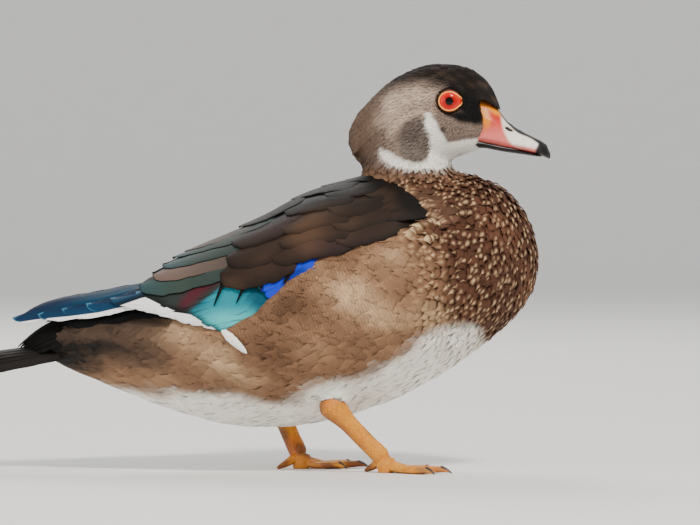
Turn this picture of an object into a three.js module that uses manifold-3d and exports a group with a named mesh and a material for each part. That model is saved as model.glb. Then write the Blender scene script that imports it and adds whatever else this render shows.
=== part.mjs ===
// A drake wood duck in brown summer plumage, standing still, life size.
// Millimetres. +X runs towards the bill, +Y to the bird's own left, +Z up, and the floor is Z = 0.
import * as THREE from 'three';
import { mergeVertices } from 'three/addons/utils/BufferGeometryUtils.js';
import Module from 'manifold-3d';

const wasm = await Module();
wasm.setup();

const touchGap = 0.3;
const right = -1;
const left = 1;
const sides = { right, left };

// Closed shapes, joined and cut

function vector(x, y, z) {
  return new THREE.Vector3(x, y, z);
}

function geometryOf(points, triangles) {
  const geometry = new THREE.BufferGeometry().setFromPoints(points);
  geometry.setIndex(triangles);
  return geometry;
}

// A solid from a closed geometry, with its faces turned outwards.
function solidOf(geometry) {
  const bare = geometry.clone();
  bare.deleteAttribute('normal');
  bare.deleteAttribute('uv');
  const merged = mergeVertices(bare, 1e-4);
  const vertProperties = merged.attributes.position.array;
  const triVerts = new Uint32Array(merged.index.array);
  const made = new wasm.Manifold(new wasm.Mesh({ numProp: 3, vertProperties, triVerts }));
  if (made.volume() > 0) return made;
  for (let i = 0; i < triVerts.length; i += 3) {
    [triVerts[i + 1], triVerts[i + 2]] = [triVerts[i + 2], triVerts[i + 1]];
  }
  return new wasm.Manifold(new wasm.Mesh({ numProp: 3, vertProperties, triVerts }));
}

function joined(solids) {
  return wasm.Manifold.union(solids);
}

// The largest closed surface alone, without loose scraps or sealed hollows.
function largest(solid) {
  return solid.decompose().reduce((best, piece) => (piece.volume() > best.volume() ? piece : best));
}

// Rings of points joined into a closed skin. A ring of one point is a tip, and any other end is capped.
function ringSolid(rings) {
  const points = [];
  const triangles = [];
  const around = Math.max(...rings.map((ring) => ring.length));
  const starts = rings.map((ring) => points.push(...ring) - ring.length);
  const corner = (i, j) => starts[i] + (rings[i].length === 1 ? 0 : j % around);
  for (let i = 0; i + 1 < rings.length; i++) {
    for (let j = 0; j < around; j++) {
      if (rings[i].length > 1) triangles.push(corner(i, j), corner(i, j + 1), corner(i + 1, j));
      if (rings[i + 1].length > 1) triangles.push(corner(i, j + 1), corner(i + 1, j + 1), corner(i + 1, j));
    }
  }
  for (const end of [0, rings.length - 1]) {
    if (rings[end].length === 1) continue;
    const centre = points.push(rings[end].reduce((sum, p) => sum.add(p), vector(0, 0, 0)).divideScalar(around)) - 1;
    for (let j = 0; j < around; j++) {
      const edge = [corner(end, j), corner(end, j + 1)];
      triangles.push(centre, ...(end === 0 ? edge.reverse() : edge));
    }
  }
  return solidOf(geometryOf(points, triangles));
}

// A plate of two alike faces: place(u, v, face) with u and v from 0 to 1, and face 1 above or -1 below.
function plateSolid(alongCount, acrossCount, place) {
  const points = [];
  const triangles = [];
  for (const face of [1, -1]) {
    for (let i = 0; i <= alongCount; i++) {
      for (let j = 0; j <= acrossCount; j++) points.push(place(i / alongCount, j / acrossCount, face));
    }
  }
  const row = acrossCount + 1;
  const lower = points.length / 2;
  for (let i = 0; i < alongCount; i++) {
    for (let j = 0; j < acrossCount; j++) {
      const [a, b, c, d] = [i * row + j, (i + 1) * row + j, (i + 1) * row + j + 1, i * row + j + 1];
      triangles.push(a, b, c, a, c, d);
      triangles.push(a + lower, c + lower, b + lower, a + lower, d + lower, c + lower);
    }
  }
  const wall = (a, b) => triangles.push(a, a + lower, b, b, a + lower, b + lower);
  for (let i = 0; i < alongCount; i++) {
    wall(i * row, (i + 1) * row);
    wall((i + 1) * row + acrossCount, i * row + acrossCount);
  }
  for (let j = 0; j < acrossCount; j++) {
    wall(j + 1, j);
    wall(alongCount * row + j, alongCount * row + j + 1);
  }
  return solidOf(geometryOf(points, triangles));
}

// Smooth tracks through a few stations

function smoothBetween(before, from, to, after, share) {
  const leave = (to - before) / 2;
  const arrive = (after - from) / 2;
  const s2 = share * share;
  const s3 = s2 * share;
  return (2 * s3 - 3 * s2 + 1) * from + (s3 - 2 * s2 + share) * leave + (3 * s2 - 2 * s3) * to + (s3 - s2) * arrive;
}

class Track {
  constructor(keys, rows) {
    this.keys = keys;
    this.rows = rows;
  }

  at(t) {
    const last = this.rows.length - 1;
    const place = THREE.MathUtils.clamp(t, 0, 1) * last;
    const i = Math.min(Math.floor(place), last - 1);
    const near = [i - 1, i, i + 1, i + 2].map((n) => this.rows[THREE.MathUtils.clamp(n, 0, last)]);
    const mixed = this.keys.map((key, k) => [key, smoothBetween(...near.map((row) => row[k]), place - i)]);
    return Object.fromEntries(mixed);
  }

  atX(x) {
    let low = 0;
    let high = 1;
    for (let step = 0; step < 30; step++) {
      const middle = (low + high) / 2;
      if (this.at(middle).x < x) low = middle;
      else high = middle;
    }
    return this.at(low);
  }
}

function ramp(value, from, to) {
  return THREE.MathUtils.smoothstep(value, from, to);
}

// A body of upright sections. The angle is 0 on top and 180 degrees below, positive on the bird's left.
class Barrel extends Track {
  constructor(rows, pinch = 1) {
    super(['x', 'top', 'bottom', 'half', 'mid'], rows);
    this.pinch = pinch;
  }

  place(section, angle, lift = 0) {
    const c = Math.cos(angle);
    const s = Math.sin(angle);
    const rise = c > 0 ? section.top - section.mid : section.mid - section.bottom;
    const side = Math.sign(s) * Math.abs(s) ** (c > 0 ? 1 : this.pinch);
    const outward = vector(0, s * rise, c * section.half + 1e-9).normalize();
    return vector(section.x, side * section.half, section.mid + rise * c).addScaledVector(outward, lift);
  }

  // The angle at which the upper side of a section stands at a height.
  angleAt(section, z) {
    return Math.acos(THREE.MathUtils.clamp((z - section.mid) / (section.top - section.mid), -0.999, 0.999));
  }
}

function barrelSolid(barrel, alongCount, aroundCount, grow = 0) {
  const rings = [];
  for (let i = 0; i <= alongCount; i++) {
    const section = barrel.at(i / alongCount);
    section.x += grow * ((2 * i) / alongCount - 1);
    if (i === 0 || i === alongCount) {
      rings.push([vector(section.x, 0, section.mid)]);
      continue;
    }
    const ring = [];
    for (let j = 0; j < aroundCount; j++) ring.push(barrel.place(section, (j / aroundCount) * 2 * Math.PI, grow));
    rings.push(ring);
  }
  return ringSolid(rings);
}

// A limb of round sections along a path, each [x, y, z, radius along, radius across].
function limbSolid(stations, aroundCount, grow = 0) {
  const centres = stations.map(([x, y, z]) => vector(x, y, z));
  const rings = stations.map((station, i) => {
    const forward = centres[Math.min(i + 1, centres.length - 1)].clone().sub(centres[Math.max(i - 1, 0)]).normalize();
    const across = vector(0, 1, 0).addScaledVector(forward, -forward.y).normalize();
    const front = forward.clone().cross(across);
    const endShift = grow * (i === 0 ? -1 : i === stations.length - 1 ? 1 : 0);
    const ring = [];
    for (let j = 0; j < aroundCount; j++) {
      const angle = (j / aroundCount) * 2 * Math.PI;
      const point = centres[i].clone().addScaledVector(forward, endShift);
      point.addScaledVector(front, Math.cos(angle) * (station[3] + grow));
      ring.push(point.addScaledVector(across, Math.sin(angle) * (station[4] + grow)));
    }
    return ring;
  });
  return ringSolid(rings);
}

// Torso: bare back, breast, belly and rump, with the flank feathers as a ledge that overlaps the wing

const torso = new Barrel(
  [
    [-99, 65, 61, 1, 63],
    [-94, 71, 56, 9.5, 63.5],
    [-82, 76, 49.5, 17, 63.5],
    [-62, 82.5, 41.5, 26, 63.5],
    [-36, 91.5, 31, 36, 64.5],
    [-5, 105, 22.5, 44.5, 68],
    [28, 127.5, 22, 48.5, 75],
    [60, 139, 28.5, 50, 83],
    [90, 147, 41, 49, 91],
    [112, 149.5, 54.5, 43.5, 97],
    [129, 145, 67.5, 34, 101],
    [141, 134, 79, 22.5, 103.5],
    [148.5, 119.5, 91, 11, 105],
    [151, 105.5, 104.5, 0.5, 105],
  ],
  1.25,
);
const flankEdge = new Track(
  ['x', 'z'],
  [[-100, 70], [-40, 70], [-12, 71], [3, 76], [18, 91], [35, 105], [56, 115], [80, 122], [101, 131], [125, 136], [151, 130]],
);
const flankThickness = 6.5;
const flankLedge = 4;

// How far the flank feathers stand out at x, and how they thin out towards the belly.
function flankDepth(x) {
  return flankThickness * ramp(x, -20, 15) * (1 - ramp(x, 84, 106));
}

function torsoRing(section, grow) {
  const edge = torso.angleAt(section, Math.min(flankEdge.atX(section.x).z, section.top - 4));
  const ledge = flankLedge / Math.max(section.half, 8);
  const upper = [0, 0.3, 0.6, 0.85, 1].map((share) => share * edge);
  const lower = [0, 0.1, 0.22, 0.36, 0.52, 0.7, 0.87].map((share) => edge + ledge + share * (Math.PI - edge - ledge));
  const half = [...upper, ...lower].map((angle, j) => {
    const below = j < upper.length ? 0 : 1 - ramp(angle, 1.75, 2.7);
    return torso.place(section, angle, grow + below * flankDepth(section.x));
  });
  const mirrored = half.slice(1).map((p) => vector(p.x, -p.y, p.z)).reverse();
  return [...half, torso.place(section, Math.PI, grow), ...mirrored];
}

function torsoSolid(grow = 0) {
  const alongCount = 24;
  const rings = [];
  for (let i = 0; i <= alongCount; i++) {
    const section = torso.at(i / alongCount);
    section.x += grow * ((2 * i) / alongCount - 1);
    rings.push(i === 0 || i === alongCount ? [vector(section.x, 0, section.mid)] : torsoRing(section, grow));
  }
  return ringSolid(rings);
}

// Head, neck and eyes

const head = new Barrel([
  [56, 165, 161, 1, 163],
  [59.5, 176, 154.5, 7, 165],
  [66, 186, 151.5, 11.5, 167],
  [75, 194.8, 151, 15.5, 169],
  [86, 201, 151.5, 18, 170.5],
  [97, 204.2, 153, 18.6, 172],
  [107, 204, 155.8, 17.4, 173.5],
  [115.5, 202.3, 158.8, 14.8, 174.5],
  [122.5, 198.6, 161, 12, 175],
  [128, 192, 162.5, 9.3, 175],
  [132, 182, 167, 5, 175],
  [133.5, 175.5, 174.5, 0.5, 175],
]);
const eyeCentre = { x: 105.4, y: 10.1, z: 185 };
const eyeRadius = 7.3;
const lidRing = 6.5;
const lidThickness = 0.75;
const lidDepth = 4.9;
const orbitMouth = 8.6;

function eyeSolid(side, grow = 0) {
  const ball = new THREE.SphereGeometry(eyeRadius + grow, 14, 9);
  return solidOf(ball.translate(eyeCentre.x, side * eyeCentre.y, eyeCentre.z));
}

// A turned shape whose axis runs out sideways through one eye.
function turnedAtEye(geometry, side) {
  geometry.rotateZ(side === left ? 0 : Math.PI);
  return solidOf(geometry.translate(eyeCentre.x, side * eyeCentre.y, eyeCentre.z));
}

// The shallow hollow that the eye looks out of.
function orbitSolid(side) {
  const mouthY = eyeRadius + 3;
  const profile = [[0, lidDepth - 1], [lidRing, lidDepth - 0.6], [orbitMouth, eyeRadius - 0.2], [orbitMouth + 3, mouthY], [0, mouthY]];
  return turnedAtEye(new THREE.LatheGeometry(profile.map(([r, y]) => new THREE.Vector2(r, y)), 16), side);
}

function lidSolid(side) {
  const ring = new THREE.TorusGeometry(lidRing, lidThickness, 5, 16).rotateX(Math.PI / 2);
  return turnedAtEye(ring.translate(0, lidDepth, 0), side);
}

// The short crest at the nape: locks that run back over the crown's end and hang down the neck.
const crestLocks = 5;

function crestLock(order) {
  const angle = THREE.MathUtils.lerp(-1.15, 1.15, order / (crestLocks - 1));
  const drop = 12 + 4 * Math.cos(angle) + 2 * draw(order + 400);
  const from = head.place(head.atX(76), angle, -2);
  const over = head.place(head.atX(60.5), angle, 1.6);
  const tip = vector(54.5 + 2.2 * Math.abs(angle), over.y * 0.75, over.z - drop);
  const path = new THREE.QuadraticBezierCurve3(from, over.clone().add(vector(-2.5, 0, 2.5)), tip);
  return vaneSolid({ width: 9.5, thickness: 1, bluntness: 2, tilt: 0, lift: 0, rootLift: 0 }, (u, across, lift) => {
    const centre = path.getPoint(u);
    const forward = path.getTangent(u);
    const outward = vector(-0.55, Math.sin(angle), Math.max(Math.cos(angle) * (1 - u), 0)).normalize();
    const sideways = forward.clone().cross(outward).normalize();
    return centre.addScaledVector(sideways, across).addScaledVector(outward, lift);
  });
}

const neckRows = [
  [128, 93, 36, 33],
  [137, 91, 34, 29],
  [145, 87.5, 27.5, 23],
  [152, 84.8, 23, 19],
  [161, 84.5, 20.5, 16.8],
  [172, 88, 16, 13],
];

function neckSolid(grow = 0) {
  const aroundCount = 16;
  const rings = neckRows.map(([z, centre, along, across]) =>
    Array.from({ length: aroundCount }, (_, j) => {
      const angle = (j / aroundCount) * 2 * Math.PI;
      return vector(centre + (along + grow) * Math.cos(angle), (across + grow) * Math.sin(angle), z);
    }),
  );
  return ringSolid(rings);
}

// Bill: the upper half from the feather line to the nail, and the thin lower half

const upperBill = new Barrel([
  [115, 187.5, 166.5, 9.6, 168.5],
  [121, 186, 164.6, 10.2, 167],
  [127, 182.6, 163.3, 10, 166],
  [132, 178.4, 162.3, 9.4, 165],
  [137.5, 171.7, 161.3, 8.4, 163.6],
  [143, 168, 160.2, 7.5, 162],
  [148.5, 165.7, 159, 6.9, 160.6],
  [153, 163.4, 157.6, 5.6, 159],
  [156, 160.4, 156.2, 3.2, 157.6],
  [156.6, 158, 156.8, 0.5, 157.2],
]);
const lowerBill = new Barrel([
  [112, 164.5, 160.4, 7, 163],
  [121, 163.6, 160.8, 8.3, 163],
  [132, 161.3, 158.9, 7.4, 160.8],
  [143, 159.5, 157.4, 5.9, 158.9],
  [150, 158, 156.6, 4.4, 157.6],
  [152.4, 157.2, 156.8, 0.5, 157],
]);
const nostril = { x: 135.3, z: 171.3, length: 5.4, height: 1.9 };

// Everything in front of the line where the head's feathers meet the bill, as seen from the side.
function beyondFeatherLine(shiftX, shiftZ) {
  const line = [[142, 186.5], [120, 186.5], [121.6, 182], [122.9, 176.5], [123.2, 171], [121.8, 167], [119.6, 164.6], [122.6, 161.2], [122.6, 150], [165, 150], [165, 186.5]];
  const forehead = [[131.9, 179.2], [120.4, 186.4]];
  const outline = new THREE.Shape([...forehead, ...line.slice(2, -1), [165, 179.2]].map(([x, z]) => new THREE.Vector2(x + shiftX, z + shiftZ)));
  const slab = new THREE.ExtrudeGeometry(outline, { depth: 80, bevelEnabled: false });
  return solidOf(slab.translate(0, 0, -40).rotateX(Math.PI / 2));
}

function nostrilSolid(side) {
  const hole = new THREE.SphereGeometry(1, 10, 6).scale(nostril.length / 2, 2.2, nostril.height / 2);
  return solidOf(hole.rotateY(0.5).translate(nostril.x, side * 7.2, nostril.z));
}

// Wings: a bed that the folded feathers lie on, over the torso and out past the rump

const wingBed = new Barrel([
  [-116, 78, 60, 8, 62],
  [-90, 86.5, 60, 13.5, 64],
  [-65, 91.5, 60, 21.5, 66],
  [-40, 99, 60, 31, 68],
  [-15, 110, 60, 40, 70],
  [10, 121, 60, 46, 73],
  [35, 134, 60, 50, 78],
  [60, 141, 60, 51, 84],
  [80, 146, 60, 49.5, 89],
  [100, 149, 60, 45, 95],
]);

// Feathers: flat vanes that taper

// The outline of a vane: its share of the full width at u, from the root at 0 to the tip at 1.
function vaneWidth(u, bluntness) {
  const base = THREE.MathUtils.lerp(0.45, 1, ramp(u, 0, 0.45));
  return base * Math.max(1 - ramp(u, 0.62, 1) ** bluntness, 0.12);
}

// A vane laid by place(u, across, lift), where across is in mm from the shaft and lift is out from the bed.
function vaneSolid(shape, place) {
  const { width, thickness = 0.7, bluntness = 2, tilt = 0.9, lift, rootLift } = shape;
  return plateSolid(4, 1, (u, v, face) => {
    const across = (v - 0.5) * width * vaneWidth(u, bluntness);
    const rise = THREE.MathUtils.lerp(rootLift, lift, ramp(u, 0, 0.3)) + tilt * (2 * v - 1);
    const half = (thickness / 2) * THREE.MathUtils.lerp(1, 0.7, u);
    return place(u, across, rise + face * half);
  });
}

// A seeded draw from 0 to 1.
function draw(seed) {
  const raw = Math.sin(seed * 127.1 + 311.7) * 43758.5453;
  return raw - Math.floor(raw);
}

function mix(from, to, share) {
  return from.map((value, k) => THREE.MathUtils.lerp(value, to[k], share));
}

// Wing surface: x along the bird and s in mm down from the middle of the back.
function bedRadius(section) {
  return (section.half + section.top - section.mid) / 2;
}

function onBed(x, z) {
  const section = wingBed.atX(x);
  return [x, wingBed.angleAt(section, z) * bedRadius(section)];
}

function wingVane(side, root, tip, shape) {
  const from = onBed(...root);
  const to = onBed(...tip);
  const length = Math.hypot(to[0] - from[0], to[1] - from[1]);
  const along = mix([0, 0], [to[0] - from[0], to[1] - from[1]], 1 / length);
  return vaneSolid(shape, (u, across, lift) => {
    const centre = mix(from, to, u);
    const x = centre[0] - along[1] * across * -1;
    const s = centre[1] + along[0] * across * -1;
    const section = wingBed.atX(x);
    return wingBed.place(section, side * Math.max(s, 0.6) / bedRadius(section), lift);
  });
}

// Tiers of a folded wing, from the lowest to the highest. Each runs from its first to its last feather.
const wingTiers = [
  { count: 5, roots: [[-32, 88], [24, 103]], tips: [[-113, 75], [-50, 89]], width: 15, lift: [1.4, 2.6], bluntness: 3 },
  { count: 5, roots: [[26, 84], [8, 101]], tips: [[-16, 75], [-46, 87.5]], width: 13, lift: [3, 3.7], bluntness: 5 },
  { count: 3, roots: [[34, 96], [14, 106]], tips: [[3, 84], [-27, 95]], width: 18, lift: [4.1, 4.6], bluntness: 3 },
  { count: 3, roots: [[16, 108], [30, 128]], tips: [[-49, 91], [-25, 105]], width: 20, lift: [4.8, 5.3], bluntness: 4 },
  { count: 4, roots: [[38, 108], [44, 135]], tips: [[-9, 99], [2, 116.5]], width: 20, lift: [5.6, 6.2], bluntness: 4 },
  { count: 3, roots: [[66, 119], [68, 140]], tips: [[20, 108], [27, 130]], width: 23, lift: [5.8, 6.4], bluntness: 5 },
  { count: 3, roots: [[93, 129], [88, 144]], tips: [[51, 119], [50, 138]], width: 22, lift: [6, 6.4], bluntness: 5 },
];

function wingFeathers(side) {
  const vanes = [];
  for (const [t, tier] of wingTiers.entries()) {
    for (let i = 0; i < tier.count; i++) {
      const share = i / (tier.count - 1);
      const vary = draw(20 * t + i) - 0.5;
      const tip = mix(...tier.tips, share);
      const shape = {
        width: tier.width * (1 + 0.1 * vary),
        lift: THREE.MathUtils.lerp(...tier.lift, share),
        rootLift: 1,
        bluntness: tier.bluntness,
      };
      vanes.push(wingVane(side, mix(...tier.roots, share), [tip[0] + 2 * vary * (share > 0 ? 1 : 0), tip[1]], shape));
    }
  }
  return vanes;
}

// The arm and its small feathers: a shell on the bed that thins out at its own edges.
function wingCore(side) {
  const [rearX, frontX] = [-48, 99];
  const thickness = 3;
  return plateSolid(11, 4, (u, v, face) => {
    const x = THREE.MathUtils.lerp(rearX, frontX, u);
    const section = wingBed.atX(x);
    const highest = THREE.MathUtils.lerp(0.02, 0.5, ramp(x, 55, frontX));
    const lowest = wingBed.angleAt(section, flankEdge.atX(x).z) + 0.1;
    const angle = THREE.MathUtils.lerp(highest, lowest, v);
    const fullness = (1 - (2 * u - 1) ** 6) * (1 - 0.6 * (2 * v - 1) ** 4) * (1 + 0.35 * ramp(x, 20, 60));
    return wingBed.place(section, side * angle, face > 0 ? 0.6 + thickness * fullness : -9 * ramp(x, -48, 0) - 1);
  });
}

// Tail: a roof-shaped fan of long feathers, with dark coverts over and under their roots

const tailRoot = { x: -70, z: 64 };
const tailTip = { x: -156.6, z: 54 };
const tailPairs = 6;
const tailFan = 22;
const tailDroop = 12;

function tailVane(side, order) {
  const out = (order + 0.5) / tailPairs;
  const reach = tailTip.x + 16 * out ** 2;
  const shape = { width: 9.5, thickness: 0.9, bluntness: 3, tilt: 0.35, lift: 0, rootLift: 0 };
  return vaneSolid(shape, (u, across, lift) => {
    const y = side * (out * THREE.MathUtils.lerp(8, tailFan, u) + across);
    const flat = Math.abs(y) / tailFan;
    const z = THREE.MathUtils.lerp(tailRoot.z, tailTip.z, u) + 2.5 - tailDroop * flat ** 2 * (0.4 + 0.6 * u) - 0.45 * order;
    return vector(THREE.MathUtils.lerp(tailRoot.x, reach, u), y, z + lift);
  });
}

// Coverts lie along the tail's roots: those above end in points, and those below in a blunt wedge.
const tailCoverts = [
  { count: 4, tips: [-113, -98], spread: 12, roots: 72, heights: [74.5, 61.5], width: 13, droop: 8 },
  { count: 4, tips: [-112, -100], spread: 12, roots: 60, heights: [53, 55], width: 13, droop: -3 },
];

function tailCovert({ count, tips, spread, roots, heights, width, droop }, order) {
  const place = (2 * order) / (count - 1) - 1;
  const tipX = THREE.MathUtils.lerp(...tips, Math.abs(place));
  const shape = { width, thickness: 1.1, bluntness: 2, tilt: 0, lift: 0, rootLift: 0 };
  return vaneSolid(shape, (u, across, lift) => {
    const y = place * spread * (1 - 0.35 * u) + across;
    const z = THREE.MathUtils.lerp(heights[0], heights[1], u) - droop * (y / spread) ** 2;
    return vector(THREE.MathUtils.lerp(-roots, tipX, u), y, z + lift);
  });
}

function tailSolid() {
  const vanes = [];
  for (const side of Object.values(sides)) {
    for (let order = 0; order < tailPairs; order++) vanes.push(tailVane(side, order));
  }
  for (const tier of tailCoverts) {
    for (let order = 0; order < tier.count; order++) vanes.push(tailCovert(tier, order));
  }
  return joined(vanes);
}

// Legs: feathered thigh, bare shank and webbed foot

const stance = {
  right: { ankle: [46.5, -31, 34], toeBase: [73, -24, 6], thigh: [51, -24, 52], heading: -20 },
  left: { ankle: [18, 30, 34], toeBase: [30.5, 11, 6], thigh: [26, 25, 52], heading: 8 },
};

function shankSolid(leg, grow = 0) {
  const between = (t) => leg.ankle.map((value, k) => THREE.MathUtils.lerp(value, leg.toeBase[k], t));
  return limbSolid(
    [
      [...between(-0.07), 3.2, 2.6],
      [...between(0), 5, 3.9],
      [...between(0.12), 4.4, 3.3],
      [...between(0.35), 3.5, 2.5],
      [...between(0.7), 3.4, 2.5],
      [...between(0.92), 4.1, 3.3],
      [...between(1.02), 2.8, 2.4],
    ],
    10,
    grow,
  );
}

function thighSolid(leg) {
  const between = (t) => leg.thigh.map((value, k) => THREE.MathUtils.lerp(value, leg.ankle[k], t));
  return limbSolid([[...between(0), 15, 11], [...between(0.4), 13.5, 10.5], [...between(0.8), 9.5, 8], [...between(1), 6.2, 5.4]], 12);
}

const toes = [
  { length: 27, turn: 26, thickness: 3.1 },
  { length: 37, turn: 2, thickness: 3.4 },
  { length: 34, turn: -20, thickness: 3.2 },
];
const webReach = 0.8;
const webThickness = 1;
const clawShare = 0.14;

// A foot on the floor at the origin, toes along +X, with the inner toe towards +Y.
function flatFoot() {
  const along = (toe, distance) => {
    const turn = THREE.MathUtils.degToRad(toe.turn);
    return [Math.cos(turn) * distance, Math.sin(turn) * distance];
  };
  const pieces = toes.map((toe) => {
    const stations = [0, 0.2, 0.4, 0.62, 0.84, 0.93, 1].map((share, i) => {
      const knuckle = i % 2 ? 1.12 : 0.92;
      const claw = share > 1 - clawShare - 0.03;
      const radius = claw ? 1.5 - (share - 0.84) * 7 : (toe.thickness - share * 1.3) * 0.5 * knuckle * 1.5;
      const height = claw ? 2.2 - (share - 0.84) * 9 : THREE.MathUtils.lerp(5.2, 1.7, ramp(share, 0, 0.35));
      return [...along(toe, -2 + share * toe.length), Math.max(height, 0.7), Math.max(radius, 0.3), Math.max(radius, 0.3)];
    });
    return limbSolid(stations, 6);
  });
  for (const [inner, outer] of [[toes[0], toes[1]], [toes[1], toes[2]]]) {
    pieces.push(
      plateSolid(3, 3, (u, v, face) => {
        const scallop = 1 - 0.22 * Math.sin(Math.PI * v);
        const from = along(inner, 4 + u * (inner.length * webReach - 4) * scallop);
        const to = along(outer, 4 + u * (outer.length * webReach - 4) * scallop);
        const [x, y] = from.map((value, k) => THREE.MathUtils.lerp(value, to[k], v));
        return vector(x, y, 0.9 + (1 - u) * 1.6 + (face * webThickness) / 2);
      }),
    );
  }
  pieces.push(limbSolid([[-1, 0, 4.6, 3.6, 3.6], [-4, 1.5, 4.6, 2.2, 2.2], [-8, 3.2, 2.2, 1.8, 1.7], [-12, 4.8, 0.4, 0.9, 0.8]], 6));
  pieces.push(limbSolid([[1.6, 0, 7.4, 3.6, 3.6], [1, 0, 4.4, 4.6, 4.8], [0.5, 0, -0.8, 4, 4.2]], 8));
  return joined(pieces);
}

const belowFloor = solidOf(new THREE.BoxGeometry(300, 300, 40).translate(0, 0, -20));

function footSolid(leg, side) {
  const flat = side === left ? flatFoot().scale([1, -1, 1]) : flatFoot();
  const placed = flat.rotate([0, 0, leg.heading]).translate([leg.toeBase[0], leg.toeBase[1], 0]);
  return placed.subtract(belowFloor);
}

// Materials

function finish(color, roughness) {
  return new THREE.MeshStandardMaterial({ color, roughness, metalness: 0 });
}

const materials = {
  breast: finish(0x7a5a40, 0.85),
  crown: finish(0x5b4c43, 0.7),
  wing: finish(0x4c4640, 0.55),
  tail: finish(0x3a3633, 0.6),
  thigh: finish(0xe8e0d4, 0.9),
  leg: finish(0xd9a552, 0.5),
  bill: finish(0xe08a7c, 0.35),
  mandible: finish(0x2c2422, 0.4),
  eye: finish(0xd8361c, 0.12),
};

// The whole bird

const duck = new THREE.Group();

function show(name, solid, material) {
  const mesh = largest(solid).getMesh();
  const geometry = new THREE.BufferGeometry();
  geometry.setAttribute('position', new THREE.BufferAttribute(new Float32Array(mesh.vertProperties), 3));
  geometry.setIndex(new THREE.BufferAttribute(new Uint32Array(mesh.triVerts), 1));
  geometry.computeVertexNormals();
  const shown = new THREE.Mesh(geometry, material);
  shown.name = name;
  duck.add(shown);
}

const grownTorso = torsoSolid(touchGap);
const grownHead = barrelSolid(head, 17, 16, touchGap);
const grownNeck = neckSolid(touchGap);
const midline = solidOf(new THREE.BoxGeometry(400, 2 * touchGap, 400));

show('torso', torsoSolid(), materials.breast);
show('neck', neckSolid().subtract(grownTorso).subtract(grownHead), materials.breast);

const billRoom = joined([beyondFeatherLine(-touchGap, 0), beyondFeatherLine(0, 1.3 * touchGap)]);
let skull = barrelSolid(head, 17, 16).subtract(billRoom);
for (const side of Object.values(sides)) {
  skull = joined([skull.subtract(orbitSolid(side)), lidSolid(side)]).subtract(eyeSolid(side, touchGap));
}
const crest = joined(Array.from({ length: crestLocks }, (_, order) => crestLock(order)));
show('head', joined([skull, crest]).subtract(grownTorso), materials.crown);

let maxilla = barrelSolid(upperBill, 12, 12).intersect(beyondFeatherLine(0, 0));
for (const side of Object.values(sides)) maxilla = maxilla.subtract(nostrilSolid(side));
const mouthLine = barrelSolid(lowerBill, 10, 12, touchGap);
show('bill_upper', maxilla.subtract(mouthLine), materials.bill);
show('bill_lower', barrelSolid(lowerBill, 10, 12).intersect(beyondFeatherLine(0, 0)), materials.mandible);

for (const [word, side] of Object.entries(sides)) {
  const leg = stance[word];
  const wing = joined([wingCore(side), ...wingFeathers(side)]);
  show('eye_' + word, eyeSolid(side), materials.eye);
  show('wing_' + word, wing.subtract(grownTorso).subtract(grownNeck).subtract(midline), materials.wing);
  show('thigh_' + word, thighSolid(leg).subtract(grownTorso).subtract(shankSolid(leg, touchGap)), materials.thigh);
  show('shank_' + word, shankSolid(leg).subtract(grownTorso), materials.leg);
  show('foot_' + word, footSolid(leg, side).subtract(shankSolid(leg, touchGap)), materials.leg);
}
show('tail', tailSolid().subtract(grownTorso), materials.tail);

// The origin is on the floor, under the middle of the whole bird.
const bounds = new THREE.Box3().setFromObject(duck);
const middle = bounds.getCenter(new THREE.Vector3());
duck.position.set(-middle.x, -middle.y, -bounds.min.z);

export default duck;
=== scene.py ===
import math
from functools import partial
import bmesh
import bpy
import numpy as np
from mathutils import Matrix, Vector
from mathutils.bvhtree import BVHTree


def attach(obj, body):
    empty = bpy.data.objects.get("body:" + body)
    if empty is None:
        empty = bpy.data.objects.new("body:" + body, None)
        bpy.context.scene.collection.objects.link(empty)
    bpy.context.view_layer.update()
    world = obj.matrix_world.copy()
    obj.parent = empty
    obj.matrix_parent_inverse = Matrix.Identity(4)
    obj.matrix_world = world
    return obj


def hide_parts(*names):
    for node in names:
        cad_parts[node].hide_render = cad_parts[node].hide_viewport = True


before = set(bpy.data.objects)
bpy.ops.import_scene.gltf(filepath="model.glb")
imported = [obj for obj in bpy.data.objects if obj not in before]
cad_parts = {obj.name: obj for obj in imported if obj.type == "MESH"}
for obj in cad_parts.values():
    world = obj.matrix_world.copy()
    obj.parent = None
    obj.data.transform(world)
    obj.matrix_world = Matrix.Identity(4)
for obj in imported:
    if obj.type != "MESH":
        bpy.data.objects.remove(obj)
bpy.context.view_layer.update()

# A drake wood duck in brown summer plumage. Sizes are in millimetres until meshFrom turns them to metres.
mm = 0.001
rightSide, leftSide = -1, 1
sideWords = {rightSide: "right", leftSide: "left"}
rng = np.random.default_rng(1871)

# Small numeric helpers


def ramp(value, start, end):
    t = np.clip((np.asarray(value, float) - start) / (end - start), 0, 1)
    return t * t * (3 - 2 * t)


def mixed(a, b, share):
    # between two numbers, or two places when the share is one number
    share = np.asarray(share, float)
    return np.asarray(a, float) * (1 - share) + np.asarray(b, float) * share


def tinted(a, b, share):
    # between two colours, with a share for each point
    share = np.asarray(share, float)[..., None]
    return np.asarray(a, float) * (1 - share) + np.asarray(b, float) * share


def unit(v):
    v = np.asarray(v, float)
    return v / np.maximum(np.linalg.norm(v, axis=-1, keepdims=True), 1e-9)


def colour(code):
    parts = np.array([int(code[i:i + 2], 16) / 255 for i in (0, 2, 4)])
    return np.where(parts <= 0.04045, parts / 12.92, ((parts + 0.055) / 1.055) ** 2.4)


def palette(**codes):
    return {name: colour(code) for name, code in codes.items()}


def painted(colours, base, *layers):
    # colours laid over one another, by name or as values, each with its share at each point
    base = colours[base] if isinstance(base, str) else base
    for shade, share in layers:
        base = tinted(base, colours[shade] if isinstance(shade, str) else shade, share)
    return base


waves = [(1.0, 0.7, 0.9, 0.3), (-0.8, 1.2, 0.6, 2.1), (0.5, -0.9, 1.3, 4.4)]


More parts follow.
